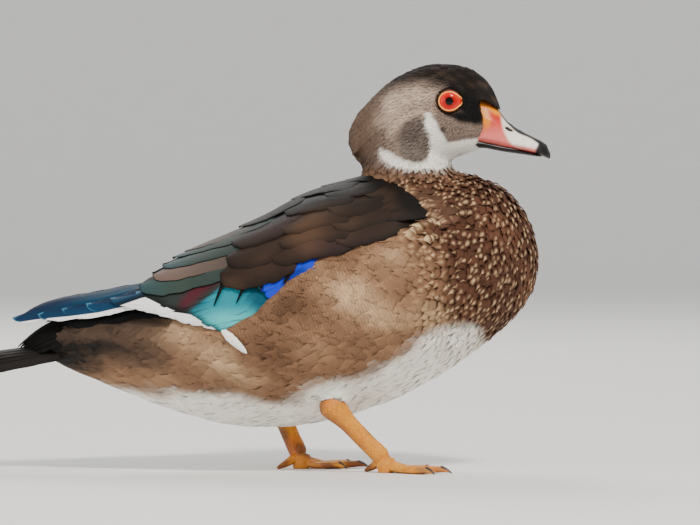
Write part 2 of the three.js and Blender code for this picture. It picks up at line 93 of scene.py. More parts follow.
def wobble(points, scale, seed=0.0):
    # a soft seeded noise from a few sine waves, about -1 to 1
    p = np.asarray(points, float) / scale
    total = np.zeros(p.shape[:-1])
    for k, (fx, fy, fz, shift) in enumerate(waves):
        total += np.sin(p[..., 0] * fx + p[..., 1] * fy + p[..., 2] * fz + shift + seed * (k + 1.7))
    return total / 3


def shaken(points, reach, scales, seed):
    # the points moved a little along each axis, for soft edges
    return points + reach * np.stack([wobble(points, scale, seed + k) for k, scale in enumerate(scales)], 1)


def smoothCurve(keys, values, at):
    # a smooth curve through the keys, without overshoot
    keys, values, at = np.asarray(keys, float), np.asarray(values, float), np.asarray(at, float)
    slope = np.diff(values, axis=0) / np.diff(keys).reshape((-1,) + (1,) * (values.ndim - 1))
    inner = np.where(slope[:-1] * slope[1:] > 0, (slope[:-1] + slope[1:]) / 2, 0)
    tangent = np.concatenate([slope[:1], inner, slope[-1:]])
    i = np.clip(np.searchsorted(keys, at) - 1, 0, len(keys) - 2)
    h = (keys[i + 1] - keys[i])
    t = np.clip((at - keys[i]) / h, 0, 1)
    if values.ndim > 1:
        h, t = h[..., None], t[..., None]
    a = (2 * t**3 - 3 * t**2 + 1) * values[i] + (3 * t**2 - 2 * t**3) * values[i + 1]
    return a + (t**3 - 2 * t**2 + t) * h * tangent[i] + (t**3 - t**2) * h * tangent[i + 1]


def gridFaces(rows, columns):
    # four-sided faces over a grid of points with one more row and column
    i, j = np.meshgrid(np.arange(rows), np.arange(columns), indexing="ij")
    first = (i * (columns + 1) + j).ravel()
    return np.stack([first, first + columns + 1, first + columns + 2, first + 1], 1)


# Camera, lights and floor

view = {"width": 700, "height": 525, "sensor": 36.0, "distance": 2.6, "rise": 0.055, "pixel": 0.502,
        "centreColumn": 238.7, "floorRow": 470.0}


def makeCamera():
    across = view["width"] * view["pixel"] * mm
    data = bpy.data.cameras.new("camera")
    data.sensor_width = view["sensor"]
    data.lens = view["sensor"] * view["distance"] / across
    data.clip_start, data.clip_end = 0.05, 50
    camera = bpy.data.objects.new("camera", data)
    bpy.context.collection.objects.link(camera)
    centreX = (view["width"] / 2 - view["centreColumn"]) * view["pixel"] * mm
    centreZ = (view["floorRow"] - view["height"] / 2) * view["pixel"] * mm
    aim = Vector((centreX, 0, centreZ))
    camera.location = aim + Vector((0, -view["distance"], view["rise"]))
    camera.rotation_euler = (aim - camera.location).to_track_quat("-Z", "Y").to_euler()
    bpy.context.scene.camera = camera


# place, size, power and tint of each lamp, and the light from all round
lamps = {
    "key": ((0.75, -1.5, 1.9), 0.4, 56, (1.0, 0.94, 0.85)),
    "fill": ((-1.5, -1.3, 0.45), 1.6, 13, (0.93, 0.96, 1.0)),
    "back": ((-0.5, 1.8, 1.6), 1.2, 24, (1.0, 0.98, 0.95)),
}
studio = {"aim": (0, 0, 0.1), "sky": (0.88, 0.9, 0.92, 1), "skyPower": 0.8}


def makeLights():
    for name, (place, size, power, tint) in lamps.items():
        data = bpy.data.lights.new(name, "AREA")
        data.shape, data.size, data.energy, data.color = "DISK", size, power, tint
        light = bpy.data.objects.new(name, data)
        bpy.context.collection.objects.link(light)
        light.location = place
        light.rotation_euler = (Vector(studio["aim"]) - Vector(place)).to_track_quat("-Z", "Y").to_euler()
    world = bpy.data.worlds.new("studio")
    bpy.context.scene.world = world
    world.use_nodes = True
    world.node_tree.nodes["Background"].inputs[0].default_value = studio["sky"]
    world.node_tree.nodes["Background"].inputs[1].default_value = studio["skyPower"]


# a wide bowl in metres, so that the background is the same from every side
floorSizes = {"flat": 3.6, "bend": 1.6, "rise": 2.6, "around": 96}


def makeFloor():
    finish = Finish("floor", 0.8)
    grain = finish.noise(30, 3.0, 0.5)
    finish.feed("Base Color", finish.mix(grain, (0.84, 0.83, 0.81, 1), (0.88, 0.87, 0.85, 1)))
    flat, bend, around = floorSizes["flat"], floorSizes["bend"], floorSizes["around"]
    profile = [(0.001, 0.0), (1.5, 0.0), (flat, 0.0)]
    for a in np.linspace(0.1, np.pi / 2, 12):
        profile.append((flat + bend * math.sin(a), bend - bend * math.cos(a)))
    profile.append((flat + bend, floorSizes["rise"]))
    turns = np.linspace(0, 2 * np.pi, around, endpoint=False)
    points = [(r * math.cos(a), r * math.sin(a), z) for r, z in profile for a in turns]
    faces = []
    for k in range(0, (len(profile) - 1) * around, around):
        for i in range(around):
            follow = (i + 1) % around
            faces.append((k + i, k + around + i, k + around + follow, k + follow))
    data = bpy.data.meshes.new("floor")
    data.from_pydata(points, [], faces)
    data.materials.append(finish.material)
    data.polygons.foreach_set("use_smooth", [True] * len(data.polygons))
    floor = bpy.data.objects.new("floor", data)
    bpy.context.collection.objects.link(floor)


# Shader maths: a wrapped socket that adds its own Math nodes


class Value:
    def __init__(self, tree, socket):
        self.tree, self.socket = tree, socket

    def math(self, operation, *others):
        sockets = dict(enumerate((self,) + others))
        return self.tree.node("ShaderNodeMath", {"operation": operation}, sockets).out()

    def limited(self):
        return self.math("MAXIMUM", 0).math("MINIMUM", 1)

    def __add__(self, other):
        return self.math("ADD", other)

    def __sub__(self, other):
        return self.math("SUBTRACT", other)

    def __rsub__(self, other):
        return self.tree.node("ShaderNodeMath", {"operation": "SUBTRACT"}, {0: other, 1: self}).out()

    def __mul__(self, other):
        return self.math("MULTIPLY", other)

    __radd__, __rmul__ = __add__, __mul__


class Placed:
    def __init__(self, tree, node):
        self.tree, self.node = tree, node

    def out(self, name=0):
        return Value(self.tree, self.node.outputs[name])


class Finish:
    # one material, with its shader and every other node made by node()
    def __init__(self, name, roughness=0.6, **fixed):
        self.material = bpy.data.materials.new(name)
        self.material.use_nodes = True
        self.nodes, self.links = self.material.node_tree.nodes, self.material.node_tree.links
        self.shader = self.nodes["Principled BSDF"]
        self.shader.inputs["Roughness"].default_value = roughness
        for socket, value in fixed.items():
            self.shader.inputs[socket.replace("_", " ")].default_value = value

    def node(self, kind, settings=None, sockets=None):
        made = self.nodes.new(kind)
        for key, value in (settings or {}).items():
            setattr(made, key, value)
        for key, value in (sockets or {}).items():
            if isinstance(value, Value):
                self.links.new(value.socket, made.inputs[key])
            else:
                made.inputs[key].default_value = value
        return Placed(self, made)

    def attribute(self, name, output="Color"):
        return self.node("ShaderNodeAttribute", {"attribute_name": name}).out(output)

    def mix(self, share, first, second, blend="MIX"):
        settings = {"data_type": "RGBA", "blend_type": blend}
        return self.node("ShaderNodeMix", settings, {0: share, 6: first, 7: second}).out(2)

    def toned(self, shade, tone):
        return self.mix(1.0, shade, (*tone, 1), "MULTIPLY")

    def place(self):
        return self.node("ShaderNodeTexCoord").out("Object")

    def noise(self, scale, detail=3.0, rough=0.55):
        sockets = {"Vector": self.place(), "Scale": scale, "Detail": detail, "Roughness": rough}
        return self.node("ShaderNodeTexNoise", {}, sockets).out("Fac")

    def bump(self, height, depth, strength=1.0):
        sockets = {"Height": height, "Distance": depth, "Strength": strength}
        self.feed("Normal", self.node("ShaderNodeBump", {}, sockets).out())

    def feed(self, socket, value):
        self.links.new(value.socket, self.shader.inputs[socket])


def plumageFinish(name, roughness, gloss, barbDepth, speckle):
    # soft feathers: the mesh carries the markings, with barbs, mottling and fine ripples worked out here
    finish = Finish(name, roughness, Specular_IOR_Level=gloss)
    shade = finish.attribute("plume")
    barb = finish.attribute("barb", "Fac").math("SINE")
    mottle, fine, broad = finish.noise(speckle, 4.0, 0.6), finish.noise(1700, 2.0, 0.6), finish.noise(70)
    apart = finish.node("ShaderNodeSeparateXYZ", {}, {0: finish.place()})
    wavy = finish.noise(110) * 16 + mottle * 17
    ripple = (apart.out(0) * 4000 + apart.out(2) * 1500 + wavy).math("SINE")
    ripple = ripple * finish.attribute("ripple", "Fac")
    share = (mottle - 0.5) * 0.5 + (fine - 0.5) * 0.35 + (broad - 0.5) * 0.55
    share = share + barb * 0.05 + ripple * 0.24 + 0.5
    dark, light = finish.toned(shade, (0.66, 0.62, 0.60)), finish.toned(shade, (1.28, 1.27, 1.22))
    finish.feed("Base Color", finish.mix(share, dark, light))
    finish.bump(barb * 0.4 + fine * 0.5 + ripple * 0.4, barbDepth, 0.5)
    finish.feed("Roughness", fine * 0.2 + (roughness - 0.1))
    return finish.material


def vaneFinish(name, roughness, gloss, barbDepth):
    # broad wing and tail feathers: close parallel barbs with a silky shine
    finish = Finish(name, roughness, Specular_IOR_Level=gloss)
    barb = finish.attribute("barb", "Fac").math("SINE")
    grain, broad = finish.noise(700, 4.0, 0.6), finish.noise(60, 2.0, 0.5)
    rim = ((0.75 - finish.attribute("rim", "Fac") + grain * 0.3) * 2.5).limited()
    shade = finish.mix(rim, finish.attribute("plume"), finish.attribute("edging"))
    band = (finish.attribute("band", "Fac") * 3.0).limited()
    shade = finish.mix(band, shade, (0.93, 0.92, 0.9, 1))
    dark, light = finish.toned(shade, (0.66, 0.66, 0.68)), finish.toned(shade, (1.3, 1.28, 1.24))
    finish.feed("Base Color", finish.mix(barb * 0.09 + grain * 0.42 + broad * 0.4 + 0.08, dark, light))
    finish.bump(barb * 0.25 + grain * 0.35, barbDepth, 0.4)
    finish.feed("Roughness", grain * 0.22 + (roughness - 0.11))
    return finish.material


# Meshes with their colours, barb lines and bake map


def setColours(piece, colours, name="plume"):
    layer = piece.data.attributes.new(name, "FLOAT_COLOR", "POINT")
    layer.data.foreach_set("color", np.column_stack([colours, np.ones(len(colours))]).ravel())


def setValues(piece, name, values):
    piece.data.attributes.new(name, "FLOAT", "POINT").data.foreach_set("value", np.asarray(values, float))


def setPoints(piece, points):
    piece.data.vertices.foreach_set("co", (points * mm).ravel())
    piece.data.update()


def pointsOf(piece):
    points = np.empty(len(piece.data.vertices) * 3)
    piece.data.vertices.foreach_get("co", points)
    return points.reshape(-1, 3) / mm


def normalsOf(piece):
    normals = np.empty(len(piece.data.vertices) * 3)
    piece.data.vertex_normals.foreach_get("vector", normals)
    return normals.reshape(-1, 3)


def meshFrom(name, points, faces, finish, colours=None, barbs=None, bakeMap=None):
    data = bpy.data.meshes.new(name)
    faces = np.asarray(faces)
    data.vertices.add(len(points))
    data.vertices.foreach_set("co", (np.asarray(points, float) * mm).ravel())
    data.loops.add(faces.size)
    data.loops.foreach_set("vertex_index", faces.ravel())
    data.polygons.add(len(faces))
    data.polygons.foreach_set("loop_start", np.arange(0, faces.size, faces.shape[1]))
    data.update(calc_edges=True)
    data.polygons.foreach_set("use_smooth", np.ones(len(faces), bool))
    data.materials.append(finish)
    piece = bpy.data.objects.new(name, data)
    bpy.context.collection.objects.link(piece)
    if colours is not None:
        setColours(piece, colours)
    if barbs is not None:
        setValues(piece, "barb", barbs)
    if bakeMap is not None:
        layer = data.uv_layers.new(name="OFBake")
        layer.data.foreach_set("uv", np.asarray(bakeMap, float)[faces.ravel()].ravel())
    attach(piece, "root")
    return piece


def blended(name, nodes, voxel, smooth, finish):
    # one smooth mesh from copies of the frame's nodes, which it then stands for
    merged = bmesh.new()
    for node in nodes:
        merged.from_mesh(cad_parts[node].data)
    data = bpy.data.meshes.new(name)
    merged.to_mesh(data)
    merged.free()
    piece = bpy.data.objects.new(name, data)
    bpy.context.collection.objects.link(piece)
    remesh = piece.modifiers.new("remesh", "REMESH")
    remesh.mode, remesh.voxel_size, remesh.use_smooth_shade = "VOXEL", voxel * mm, True
    relax = piece.modifiers.new("relax", "SMOOTH")
    relax.factor, relax.iterations = 0.5, smooth
    done = bpy.data.meshes.new_from_object(piece.evaluated_get(bpy.context.evaluated_depsgraph_get()))
    piece.modifiers.clear()
    piece.data = done
    done.name = name
    done.materials.clear()
    done.materials.append(finish)
    done.polygons.foreach_set("use_smooth", np.ones(len(done.polygons), bool))
    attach(piece, "root")
    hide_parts(*nodes)
    return piece


# Plumage colours as functions of place, shared by the skin and the feathers on it

shades = palette(
    crown="1d1613", crownLight="54443a", cheek="8c7b70", cheekTan="c6b09f", lores="0d0908",
    greyPatch="70655e", patchDark="544843", white="fffdf8", nape="5f4c40", neck="735643",
    breast="4e3022", breastLight="7c543c", buff="dfc096", flank="84634a", flankLight="bc9c7a",
    flankDark="4f3626", rearTop="43352c", tailShade="191513", belly="fffcf6", vent="987558",
    rump="33281f", undertail="4a382c", back="1a1412")

# Stripes seen from the bird's side: places along each in x and z, half widths there, and blur
stripes = {
    "streak": ([(97, 187), (88, 189), (79, 184), (74, 176)], [3, 5, 5, 2.5], 5),
    "patchRim": ([(97, 179), (90, 179.5), (81, 176), (76, 168)], [1.5, 1.5, 1.5, 1], 2.5),
    "lores": ([(107, 191), (112, 185), (117, 181), (120, 177.5)], [3.0, 5.6, 5.6, 3.6], 2.0),
    "underEye": ([(104, 178.5), (110, 177.5), (118, 176)], [0.6, 2.4, 2.4], 1.4),
    "cheekBar": ([(94.8, 178.0), (96.2, 173.5), (98.4, 169.0), (100.0, 164.5), (101.5, 159.5), (99.5, 155.5)],
                 [1.5, 2.9, 3.0, 3.8, 5.8, 5.0], 0.7),
    "collar": ([(71.0, 161.0), (74.0, 158.0), (78.0, 155.2), (83.5, 153.0), (89.5, 152.3), (96.0, 153.2),
                (101.0, 155.0)], [0.8, 2.3, 2.5, 2.2, 1.9, 2.3, 3.2], 0.8),
    "chin": ([(101.0, 158.0), (107.0, 160.8), (113.0, 162.9), (120.0, 164.9)], [5.2, 4.3, 2.9, 1.9], 0.7),
    "tailRoot": ([(-52, 61.5), (-75, 60), (-100, 58)], [1.0, 5.0, 7.0], 1.8),
    "tailUnder": ([(-92, 53), (-68, 53.5)], [3.5, 2.0], 1.8),
    "maroon": ([(-26.5, 84), (-19, 92), (-8, 101)], [2.2, 3.4, 3.6], 2.4),
}

# Lines seen from the side: keys and values in x and z, either way round, and a stripe's width along x
lines = {
    "crown": ([56, 66, 80, 92, 104, 112, 120, 132], [182, 189, 194.5, 195.5, 194, 190, 184, 178]),
    "breast": ([20, 60, 90, 112, 128, 150], [118, 112, 104, 98, 90, 84]),
    "belly": ([-80, -60, -35, -5, 30, 42, 50, 60, 84, 106, 118, 130],
              [36, 40, 41, 40, 38, 44, 50, 49, 63, 74.5, 72, 62]),
    "wingBed": ([-100, -12, 3, 18, 35, 56, 80, 101, 125], [70, 71, 76, 91, 105, 115, 122, 131, 136]),
    "billBase": ([150, 161, 164.6, 167, 171, 176.5, 182, 186.5],
                 [122.6, 122.6, 119.6, 121.8, 123.2, 122.9, 121.6, 120.3]),
    "billRidge": ([120, 127, 130, 132.5, 134.4, 137.5, 140.6, 144.4, 148.2, 151.2, 153.5, 155.4, 156.4],
                  [187.4, 184.0, 181.6, 178.3, 175.9, 173.4, 171.2, 169.0, 167.1, 165.7, 164.4, 162.6,
                   160.2]),
    "billPale": ([158, 163, 168, 173, 178, 181], [149.0, 137.5, 134.0, 132.2, 131.2, 131.0]),
    "billStripe": ([130, 134, 139, 145, 150], [0.9, 1.6, 2.2, 1.9, 2.4]),
    "mouth": ([112, 121, 132, 143, 152], [164.8, 163.9, 161.6, 159.9, 158.2]),
}

# Places seen from the side in x and z, and their sizes
marks = {"patch": (89.6, 165.2), "patchSize": (9.4, 11.3), "patchShadow": (86.0, 170.5),
         "eye": (105.4, 185.0), "eyeGap": 5.0, "spot": (102.2, 170.8),
         "brow": (131.9, 179.2), "browFall": 1.6, "headFrom": 152.0}


def curved(name, at):
    return smoothCurve(*lines[name], at)


def browLine(z):
    # where the feathers of the forehead end above the bill
    x0, z0 = marks["brow"]
    return x0 - (z - z0) * marks["browFall"]


def nearPath(points, path, widths, blur):
    # 1 on a stripe along the path, 0 away from it
    xz = points[:, [0, 2]]
    best = np.full(len(points), -1e9)
    for (a, b), (wa, wb) in zip(zip(path[:-1], path[1:]), zip(widths[:-1], widths[1:])):
        a, b = np.array(a), np.array(b)
        along = b - a
        t = np.clip(((xz - a) @ along) / (along @ along), 0, 1)
        gap = np.linalg.norm(xz - a - t[:, None] * along, axis=1)
        best = np.maximum(best, (wa * (1 - t) + wb * t) - gap)
    return ramp(best, -blur, blur)


def striped(points, *names):
    return np.max([nearPath(points, *stripes[name]) for name in names], 0)


def offFrom(name, x, z, wide=1.0, tall=1.0):
    # the distance from a mark, in its own widths and heights
    return np.hypot((x - marks[name][0]) / wide, (z - marks[name][1]) / tall)


def headColours(points):
    x, y, z = points.T
    noisy = shaken(points, 1.1, (2.3, 2.6, 2.1), 1)
    nx, nz = noisy[:, 0], noisy[:, 2]
    fleck = ramp(wobble(points, 1.3, 13) + 0.5 * wobble(points, 4.5, 14), -0.1, 0.8)
    crown = painted(shades, "crown", ("crownLight", fleck * (0.35 + 0.35 * ramp(x, 116, 126))))
    # a ring of black round the eye that breaks up into dots
    ring = offFrom("eye", nx, nz, 1.1)
    turn = np.arctan2(z - marks["eye"][1], x - marks["eye"][0])
    dots = ramp(np.sin(turn * 19), -0.5, 0.4)
    fringe = np.maximum(ramp(ring, 5.9, 5.5), 0.8 * dots * ramp(ring, 7.0, 6.2))
    patch = offFrom("patch", nx, nz, *marks["patchSize"])
    shadow = ramp(offFrom("patchShadow", nx, nz), 9, 2) + 0.6 * ramp(patch, 0.7, 1.0) * ramp(nx, 88, 98)
    inside = painted(shades, "greyPatch", ("patchDark", np.clip(0.15 + 0.5 * shadow, 0, 1)))
    throat = ramp(np.abs(y), 12, 8) * ramp(z, 164 + 0.12 * (x - 100), 161)
    throat = throat * ramp(x, 92, 97) * ramp(z, 152, 154)
    edged = shaken(points, 0.35, (0.9, 1.1, 0.8), 4)
    white = np.maximum(striped(edged, "cheekBar", "collar", "chin"), throat)
    return painted(
        shades, "cheek",
        ("nape", ramp(nx, 83, 62)),
        ("cheekTan", 0.85 * striped(noisy, "streak")),
        ("cheekTan", 0.8 * striped(noisy, "patchRim")),
        (crown, ramp(nz - curved("crown", nx), -7, 3)),
        ("lores", fringe),
        ("lores", striped(noisy, "lores", "underEye")),
        (inside, ramp(patch, 1.12, 0.88)),
        ("white", white),
        ("lores", 0.8 * ramp(offFrom("spot", x, z), 1.7, 1.0)))


def bodyColours(points):
    side = np.abs(points[:, 1])
    noisy = shaken(points, 3.0, (7, 8, 6), 7)
    nx, nz = noisy[:, 0], noisy[:, 2]
    patchy = wobble(points, 6.5, 10) * 0.6 + wobble(points, 15, 11) * 0.6
    flank = painted(shades, "flank", ("flankLight", ramp(patchy, 0.0, 0.9)),
                    ("flankDark", ramp(-patchy, 0.1, 0.9)))
    breast = painted(shades, "breast", ("breastLight", ramp(wobble(points, 9, 12), 0.1, 1) * 0.5))
    return painted(
        shades, flank,
        (breast, ramp(nx - curved("breast", nz), -7, 7)),
        ("neck", ramp(nz, 139, 150)),
        # behind the flank
        ("vent", ramp(nx, -18, -48) * 0.75),
        ("undertail", ramp(nx, -62, -84)),
        ("rump", ramp(nz - (60 + 0.12 * (nx + 90)), 4, 14) * ramp(nx, -30, -52)),
        ("rearTop", 0.9 * ramp(nx, -20, -42) * ramp(nz, 46, 58)),
        ("tailShade", striped(noisy, "tailRoot", "tailUnder")),
        ("belly", ramp(nz - curved("belly", nx), 3, -4) * ramp(nx, -84, -66) * ramp(nx, 127, 119)),
        ("back", ramp(nz, 118, 124) * ramp(side, 30, 24) * ramp(nx, 72, 62) * ramp(nz, 144, 140)))


def plumage(points):
    x, _, z = points.T
    onHead = ramp(z - (151.2 - 0.05 * (x - 80)), -1.2, 1.2)
    return tinted(bodyColours(points), headColours(points), onHead)


def rippled(points):
    # 1 where the flank feathers carry fine dark waves
    x, _, z = points.T
    return ramp(x, -40, -12) * ramp(curved("breast", z) - x, 14, 40) * ramp(z, 58, 74) * ramp(z, 140, 128)


def isHead(points):
    return points[:, 2] > marks["headFrom"]


# Lie of the feathers: the way each one points, before it is laid flat on the skin

lieTracks = {"billRoot": (128.0, 0.0, 180.0), "headDrop": 0.35, "napeDrop": 0.9, "breastDrop": 1.25,
             "bodyDrop": 0.12, "underRise": 0.9}


def lieOf(points, normals):
    x, _, z = points.T
    body = np.stack([-np.ones(len(x)), 0 * x, -lieTracks["bodyDrop"] + 0 * x], 1)
    body[:, 2] -= lieTracks["breastDrop"] * ramp(x, 88, 142) * ramp(z, 60, 96)
    body[:, 2] += lieTracks["underRise"] * (ramp(z, 62, 44) * ramp(x, 60, 110))
    head = unit(points - np.array(lieTracks["billRoot"]))
    head[:, 2] -= lieTracks["headDrop"] + lieTracks["napeDrop"] * ramp(x, 84, 62)
    neck = np.stack([-0.35 - 0.25 * ramp(x, 90, 60), 0 * x, -1 + 0 * x], 1)
    onHead = ramp(z, 151, 158)
    onNeck = ramp(z, 134, 142) * (1 - onHead)
    lie = head * onHead[:, None] + neck * onNeck[:, None] + body * (1 - onHead - onNeck)[:, None]
    return unit(lie - (lie * normals).sum(1, keepdims=True) * normals)


# Skin

# the skin lies below the feathers by the depths given, and its colours are darkened as painted shade between
# the feathers, less where the plumage is white
skinSizes = {"voxel": 1.15, "smooth": 10, "bodyDepth": 1.5, "headDepth": 0.5, "shade": 0.6,
             "paintedShadeOnWhite": 0.95}


def skinDepth(points):
    return mixed(skinSizes["bodyDepth"], skinSizes["headDepth"], ramp(points[:, 2], 146, 156))


def makeSkin(finish):
    nodes = ["torso", "neck", "head", "thigh_right", "thigh_left"]
    skin = blended("skin", nodes, skinSizes["voxel"], skinSizes["smooth"], finish)
    points = pointsOf(skin)
    points -= normalsOf(skin) * skinDepth(points)[:, None]
    setPoints(skin, points)
    paint = plumage(points)
    # painted shade: the plumage colours darkened on the skin, which shows only between the feathers
    shade = mixed(skinSizes["shade"], skinSizes["paintedShadeOnWhite"], ramp(paint.min(1), 0.45, 0.8))
    setColours(skin, paint * shade[:, None])
    setValues(skin, "barb", points[:, 0] * 9)
    print("skin:", len(points), "points")
    return skin


class Surface:
    # the skin as something to lay feathers on
    def __init__(self, piece):
        self.points, self.normals = pointsOf(piece), normalsOf(piece)
        piece.data.calc_loop_triangles()
        corners = np.empty(len(piece.data.loop_triangles) * 3, int)
        piece.data.loop_triangles.foreach_get("vertices", corners)
        self.triangles = corners.reshape(-1, 3)
        self.tree = BVHTree.FromPolygons(self.points.tolist(), self.triangles.tolist())

    def scatter(self, count):
        # more places where the feathers stand closer
        a, b, c = (self.points[self.triangles[:, k]] for k in range(3))
        area = np.linalg.norm(np.cross(b - a, c - a), axis=1) / featherGap(a) ** 2
        chosen = rng.choice(len(area), count, p=area / area.sum())
        u, v = rng.random(count), rng.random(count)
        flip = u + v > 1
        u[flip], v[flip] = 1 - u[flip], 1 - v[flip]
        shares = np.stack([1 - u - v, u, v], 1)[:, :, None]
        ids = self.triangles[chosen]
        return (self.points[ids] * shares).sum(1), unit((self.normals[ids] * shares).sum(1))

    def settle(self, points):
        # the nearest places on the skin, and the way out from it there
        found, outward = np.empty_like(points), np.empty_like(points)
        for i, point in enumerate(points.tolist()):
            place, _, face, _ = self.tree.find_nearest(point)
            found[i], outward[i] = place, self.normals[self.triangles[face][0]]
        return found, outward


def spaced(points, gaps):
    # keeps points that stand at least their own gap from those kept before
    kept, grid = [], {}
    nearby = [(a, b, c) for a in (-1, 0, 1) for b in (-1, 0, 1) for c in (-1, 0, 1)]
    cells = np.floor(points / float(gaps.max())).astype(int).tolist()
    for i, ((x, y, z), (a, b, c), gap) in enumerate(zip(points.tolist(), cells, gaps.tolist())):
        others = (q for da, db, dc in nearby for q in grid.get((a + da, b + db, c + dc), ()))
        if all((x - q[0]) ** 2 + (y - q[1]) ** 2 + (z - q[2]) ** 2 >= gap**2 for q in others):
            grid.setdefault((a, b, c), []).append((x, y, z))
            kept.append(i)
    return np.array(kept, int)


# Small feathers over the skin

coatSizes = {"candidates": 150000, "patch": 0.003, "wander": 0.15, "droop": 90, "frontFrom": 60,
             "rearFrom": -10}
coatFeathers = {
    "head": {"along": 3, "across": 4, "spread": 0.14, "widthShare": 0.4, "barbs": 1.4},
    "front": {"along": 5, "across": 8, "spread": 0.18, "widthShare": 0.6, "barbs": 1.0},
    "flank": {"along": 6, "across": 8, "spread": 0.15, "widthShare": 0.5, "barbs": 1.0},
    "rear": {"along": 6, "across": 8, "spread": 0.15, "widthShare": 0.5, "barbs": 1.0},
}


def layered(value, *layers):
    # a value that gives way to others, each with its share at each point
    for other, share in layers:
        value = mixed(value, other, share)
    return value


def featherGap(points):
    # how far apart the feathers stand, smallest on the face
    x, _, z = points.T
    face = ramp(np.hypot(x - 112, z - 180), 26, 12) * (z > 150)
    return layered(2.5, (2.3, ramp(x, 75, 95) * ramp(z, 50, 66)), (1.9, ramp(z, 138, 150)),
                   (1.05, ramp(z, 149, 154)), (0.85, face), (2.5, ramp(x, -50, -85)))


def featherLength(points):
    x, _, z = points.T
    face = ramp(np.hypot(x - 113, z - 179), 28, 12) * (z > 150)
    nape = ramp(x, 74, 60) * ramp(z, 156, 164)
    return layered(13.0, (7.6, ramp(x, 80, 100) * ramp(z, 50, 66)), (15.0, ramp(x, 0, -50)),
                   (5.5, ramp(z, 134, 148)), (3.4, ramp(z, 149, 154)), (1.9, face), (8.5, nape))


def rootMap(points):
    # the skin unrolled round the body's long axis, with the head on its own half
    x, y, z = points.T
    head = isHead(points)
    centre = np.where(head, 176.0, 30.0 + 0.42 * (x + 100))
    turn = (np.arctan2(y, z - centre) / (2 * np.pi)) % 1
    along = np.where(head, 0.72 + 0.26 * (x - 50) / 90, 0.02 + 0.68 * (x + 105) / 265)
    return np.stack([0.01 + 0.98 * turn, np.clip(along, 0.01, 0.99)], 1)


def layFeathers(surface, roots, normals, sizes):
    # builds every feather at once as a small curved vane with a broken edge, then lays it along the skin
    count, rows, columns = len(roots), sizes["along"], sizes["across"]
    spread = coatSizes["wander"]
    lie = lieOf(roots, normals)
    turn = rng.normal(0, sizes["spread"], count)[:, None]
    lie = unit(lie * np.cos(turn) + np.cross(normals, lie) * np.sin(turn))
    sideways = np.cross(normals, lie)
    length = featherLength(roots) * rng.uniform(1 - spread, 1 + spread, count)
    width = length * sizes["widthShare"] * rng.uniform(1 - spread, 1 + spread, count)
    # u runs from root to tip, v from edge to edge, and the feathers stand on the first axis
    u = np.linspace(0, 1, rows + 1)[None, :, None]
    v = np.linspace(-1, 1, columns + 1)[None, None, :]
    frayed = rng.uniform(0.74, 1.06, (count, 1, columns + 1)) * (1 - 0.34 * v**2)
    along = length[:, None, None] * (u * (1 - ramp(u, 0.45, 1) * (1 - frayed)))
    outline = np.interp(u, [0, 0.3, 0.65, 0.85, 1], [0.35, 0.85, 1, 0.84, 0.55])
    across = width[:, None, None] / 2 * outline * v
    way, beside, out = lie[:, None, None, :], sideways[:, None, None, :], normals[:, None, None, :]
    flat = roots[:, None, None, :] + way * along[..., None] + beside * across[..., None]
    flat = flat - out * (along**2 / coatSizes["droop"])[..., None]
    on, outward = surface.settle(flat.reshape(-1, 3))
    stand = rng.uniform(0.75, 1.25, count)[:, None, None]
    depth = skinDepth(roots)[:, None, None]
    lift = depth * stand * (0.15 + 0.85 * ramp(u, 0, 0.55)) - depth * 0.28 * v**2
    points = on + outward * lift.reshape(-1, 1)
    paint = coatPaint(roots, u, v, on.reshape(flat.shape))
    around = np.stack(np.broadcast_arrays(v / 2, u - 0.5), -1)
    bakeMap = rootMap(roots)[:, None, None, :] + coatSizes["patch"] * around
    # barbs run out and back from the shaft, about one each third of a millimetre
    barbs = (u * 9 - 3.2 * np.abs(v)) * length[:, None, None] * sizes["barbs"]
    first = (np.arange(count) * (columns + 1) * (rows + 1))[:, None, None]
    faces = (gridFaces(rows, columns)[None] + first).reshape(-1, 4)
    return points, faces, paint.reshape(-1, 3), barbs.ravel(), np.clip(bakeMap, 0.001, 0.999).reshape(-1, 2)


def coatPaint(roots, u, v, places):
    # each feather takes its root's colour, softened towards its place, with its own pale tips and spots, and
    # painted shade that darkens it towards its root
    x, _, z = roots.T
    count, body = len(roots), ~isHead(roots)
    base = plumage(roots)
    here = plumage(places.reshape(-1, 3)).reshape(places.shape)
    plain = ramp(base.min(1), 0.45, 0.8)
    vary = 1 + rng.normal(0, 0.09, (count, 1, 1, 1)) * (1 - 0.8 * plain[:, None, None, None])
    forward = x - curved("breast", z)
    spotted = ramp(forward, -16, 2) * body * ramp(z, 50, 64) * ramp(z, 153, 146)
    wanted = rng.random(count) < 0.66
    strength = (spotted * rng.uniform(0.25, 0.95, count) * wanted)[:, None, None]
    spot = np.exp(-((u - 0.66) / 0.15) ** 2 - (v / 0.27) ** 2)
    shoulder = ramp(np.hypot((x - 94) / 13, (z - 122) / 13), 1, 0.5)
    gold = (shoulder * (rng.random(count) < 0.4))[:, None, None] * ramp(u, 0.35, 0.8)
    paint = painted(
        shades, base[:, None, None, :] * 0.35 + here * 0.65,
        (shades["breast"] * 0.7, 0.6 * strength * ramp(np.abs(u - 0.66), 0.12, 0.3)),
        ("buff", np.clip(spot * strength * 1.3, 0, 0.95)),
        ("buff", np.clip(gold * 0.75, 0, 1)))
    onFlank = body * ramp(-forward, -4, 12) * ramp(x, -60, -30) * ramp(z, 38, 50)
    tipLight = 1 + ((0.08 + 0.06 * onFlank) * (1 - plain))[:, None, None] * ramp(u, 0.55, 0.95)
    # painted shade: each feather darker towards its root, where the feathers overlap
    paintedRootShade = 1 - ((0.08 + 0.14 * body) * (1 - plain))[:, None, None] * ramp(u, 0.5, 0)
    return np.clip(paint * (vary * (tipLight * paintedRootShade)[..., None]), 0, 0.97)


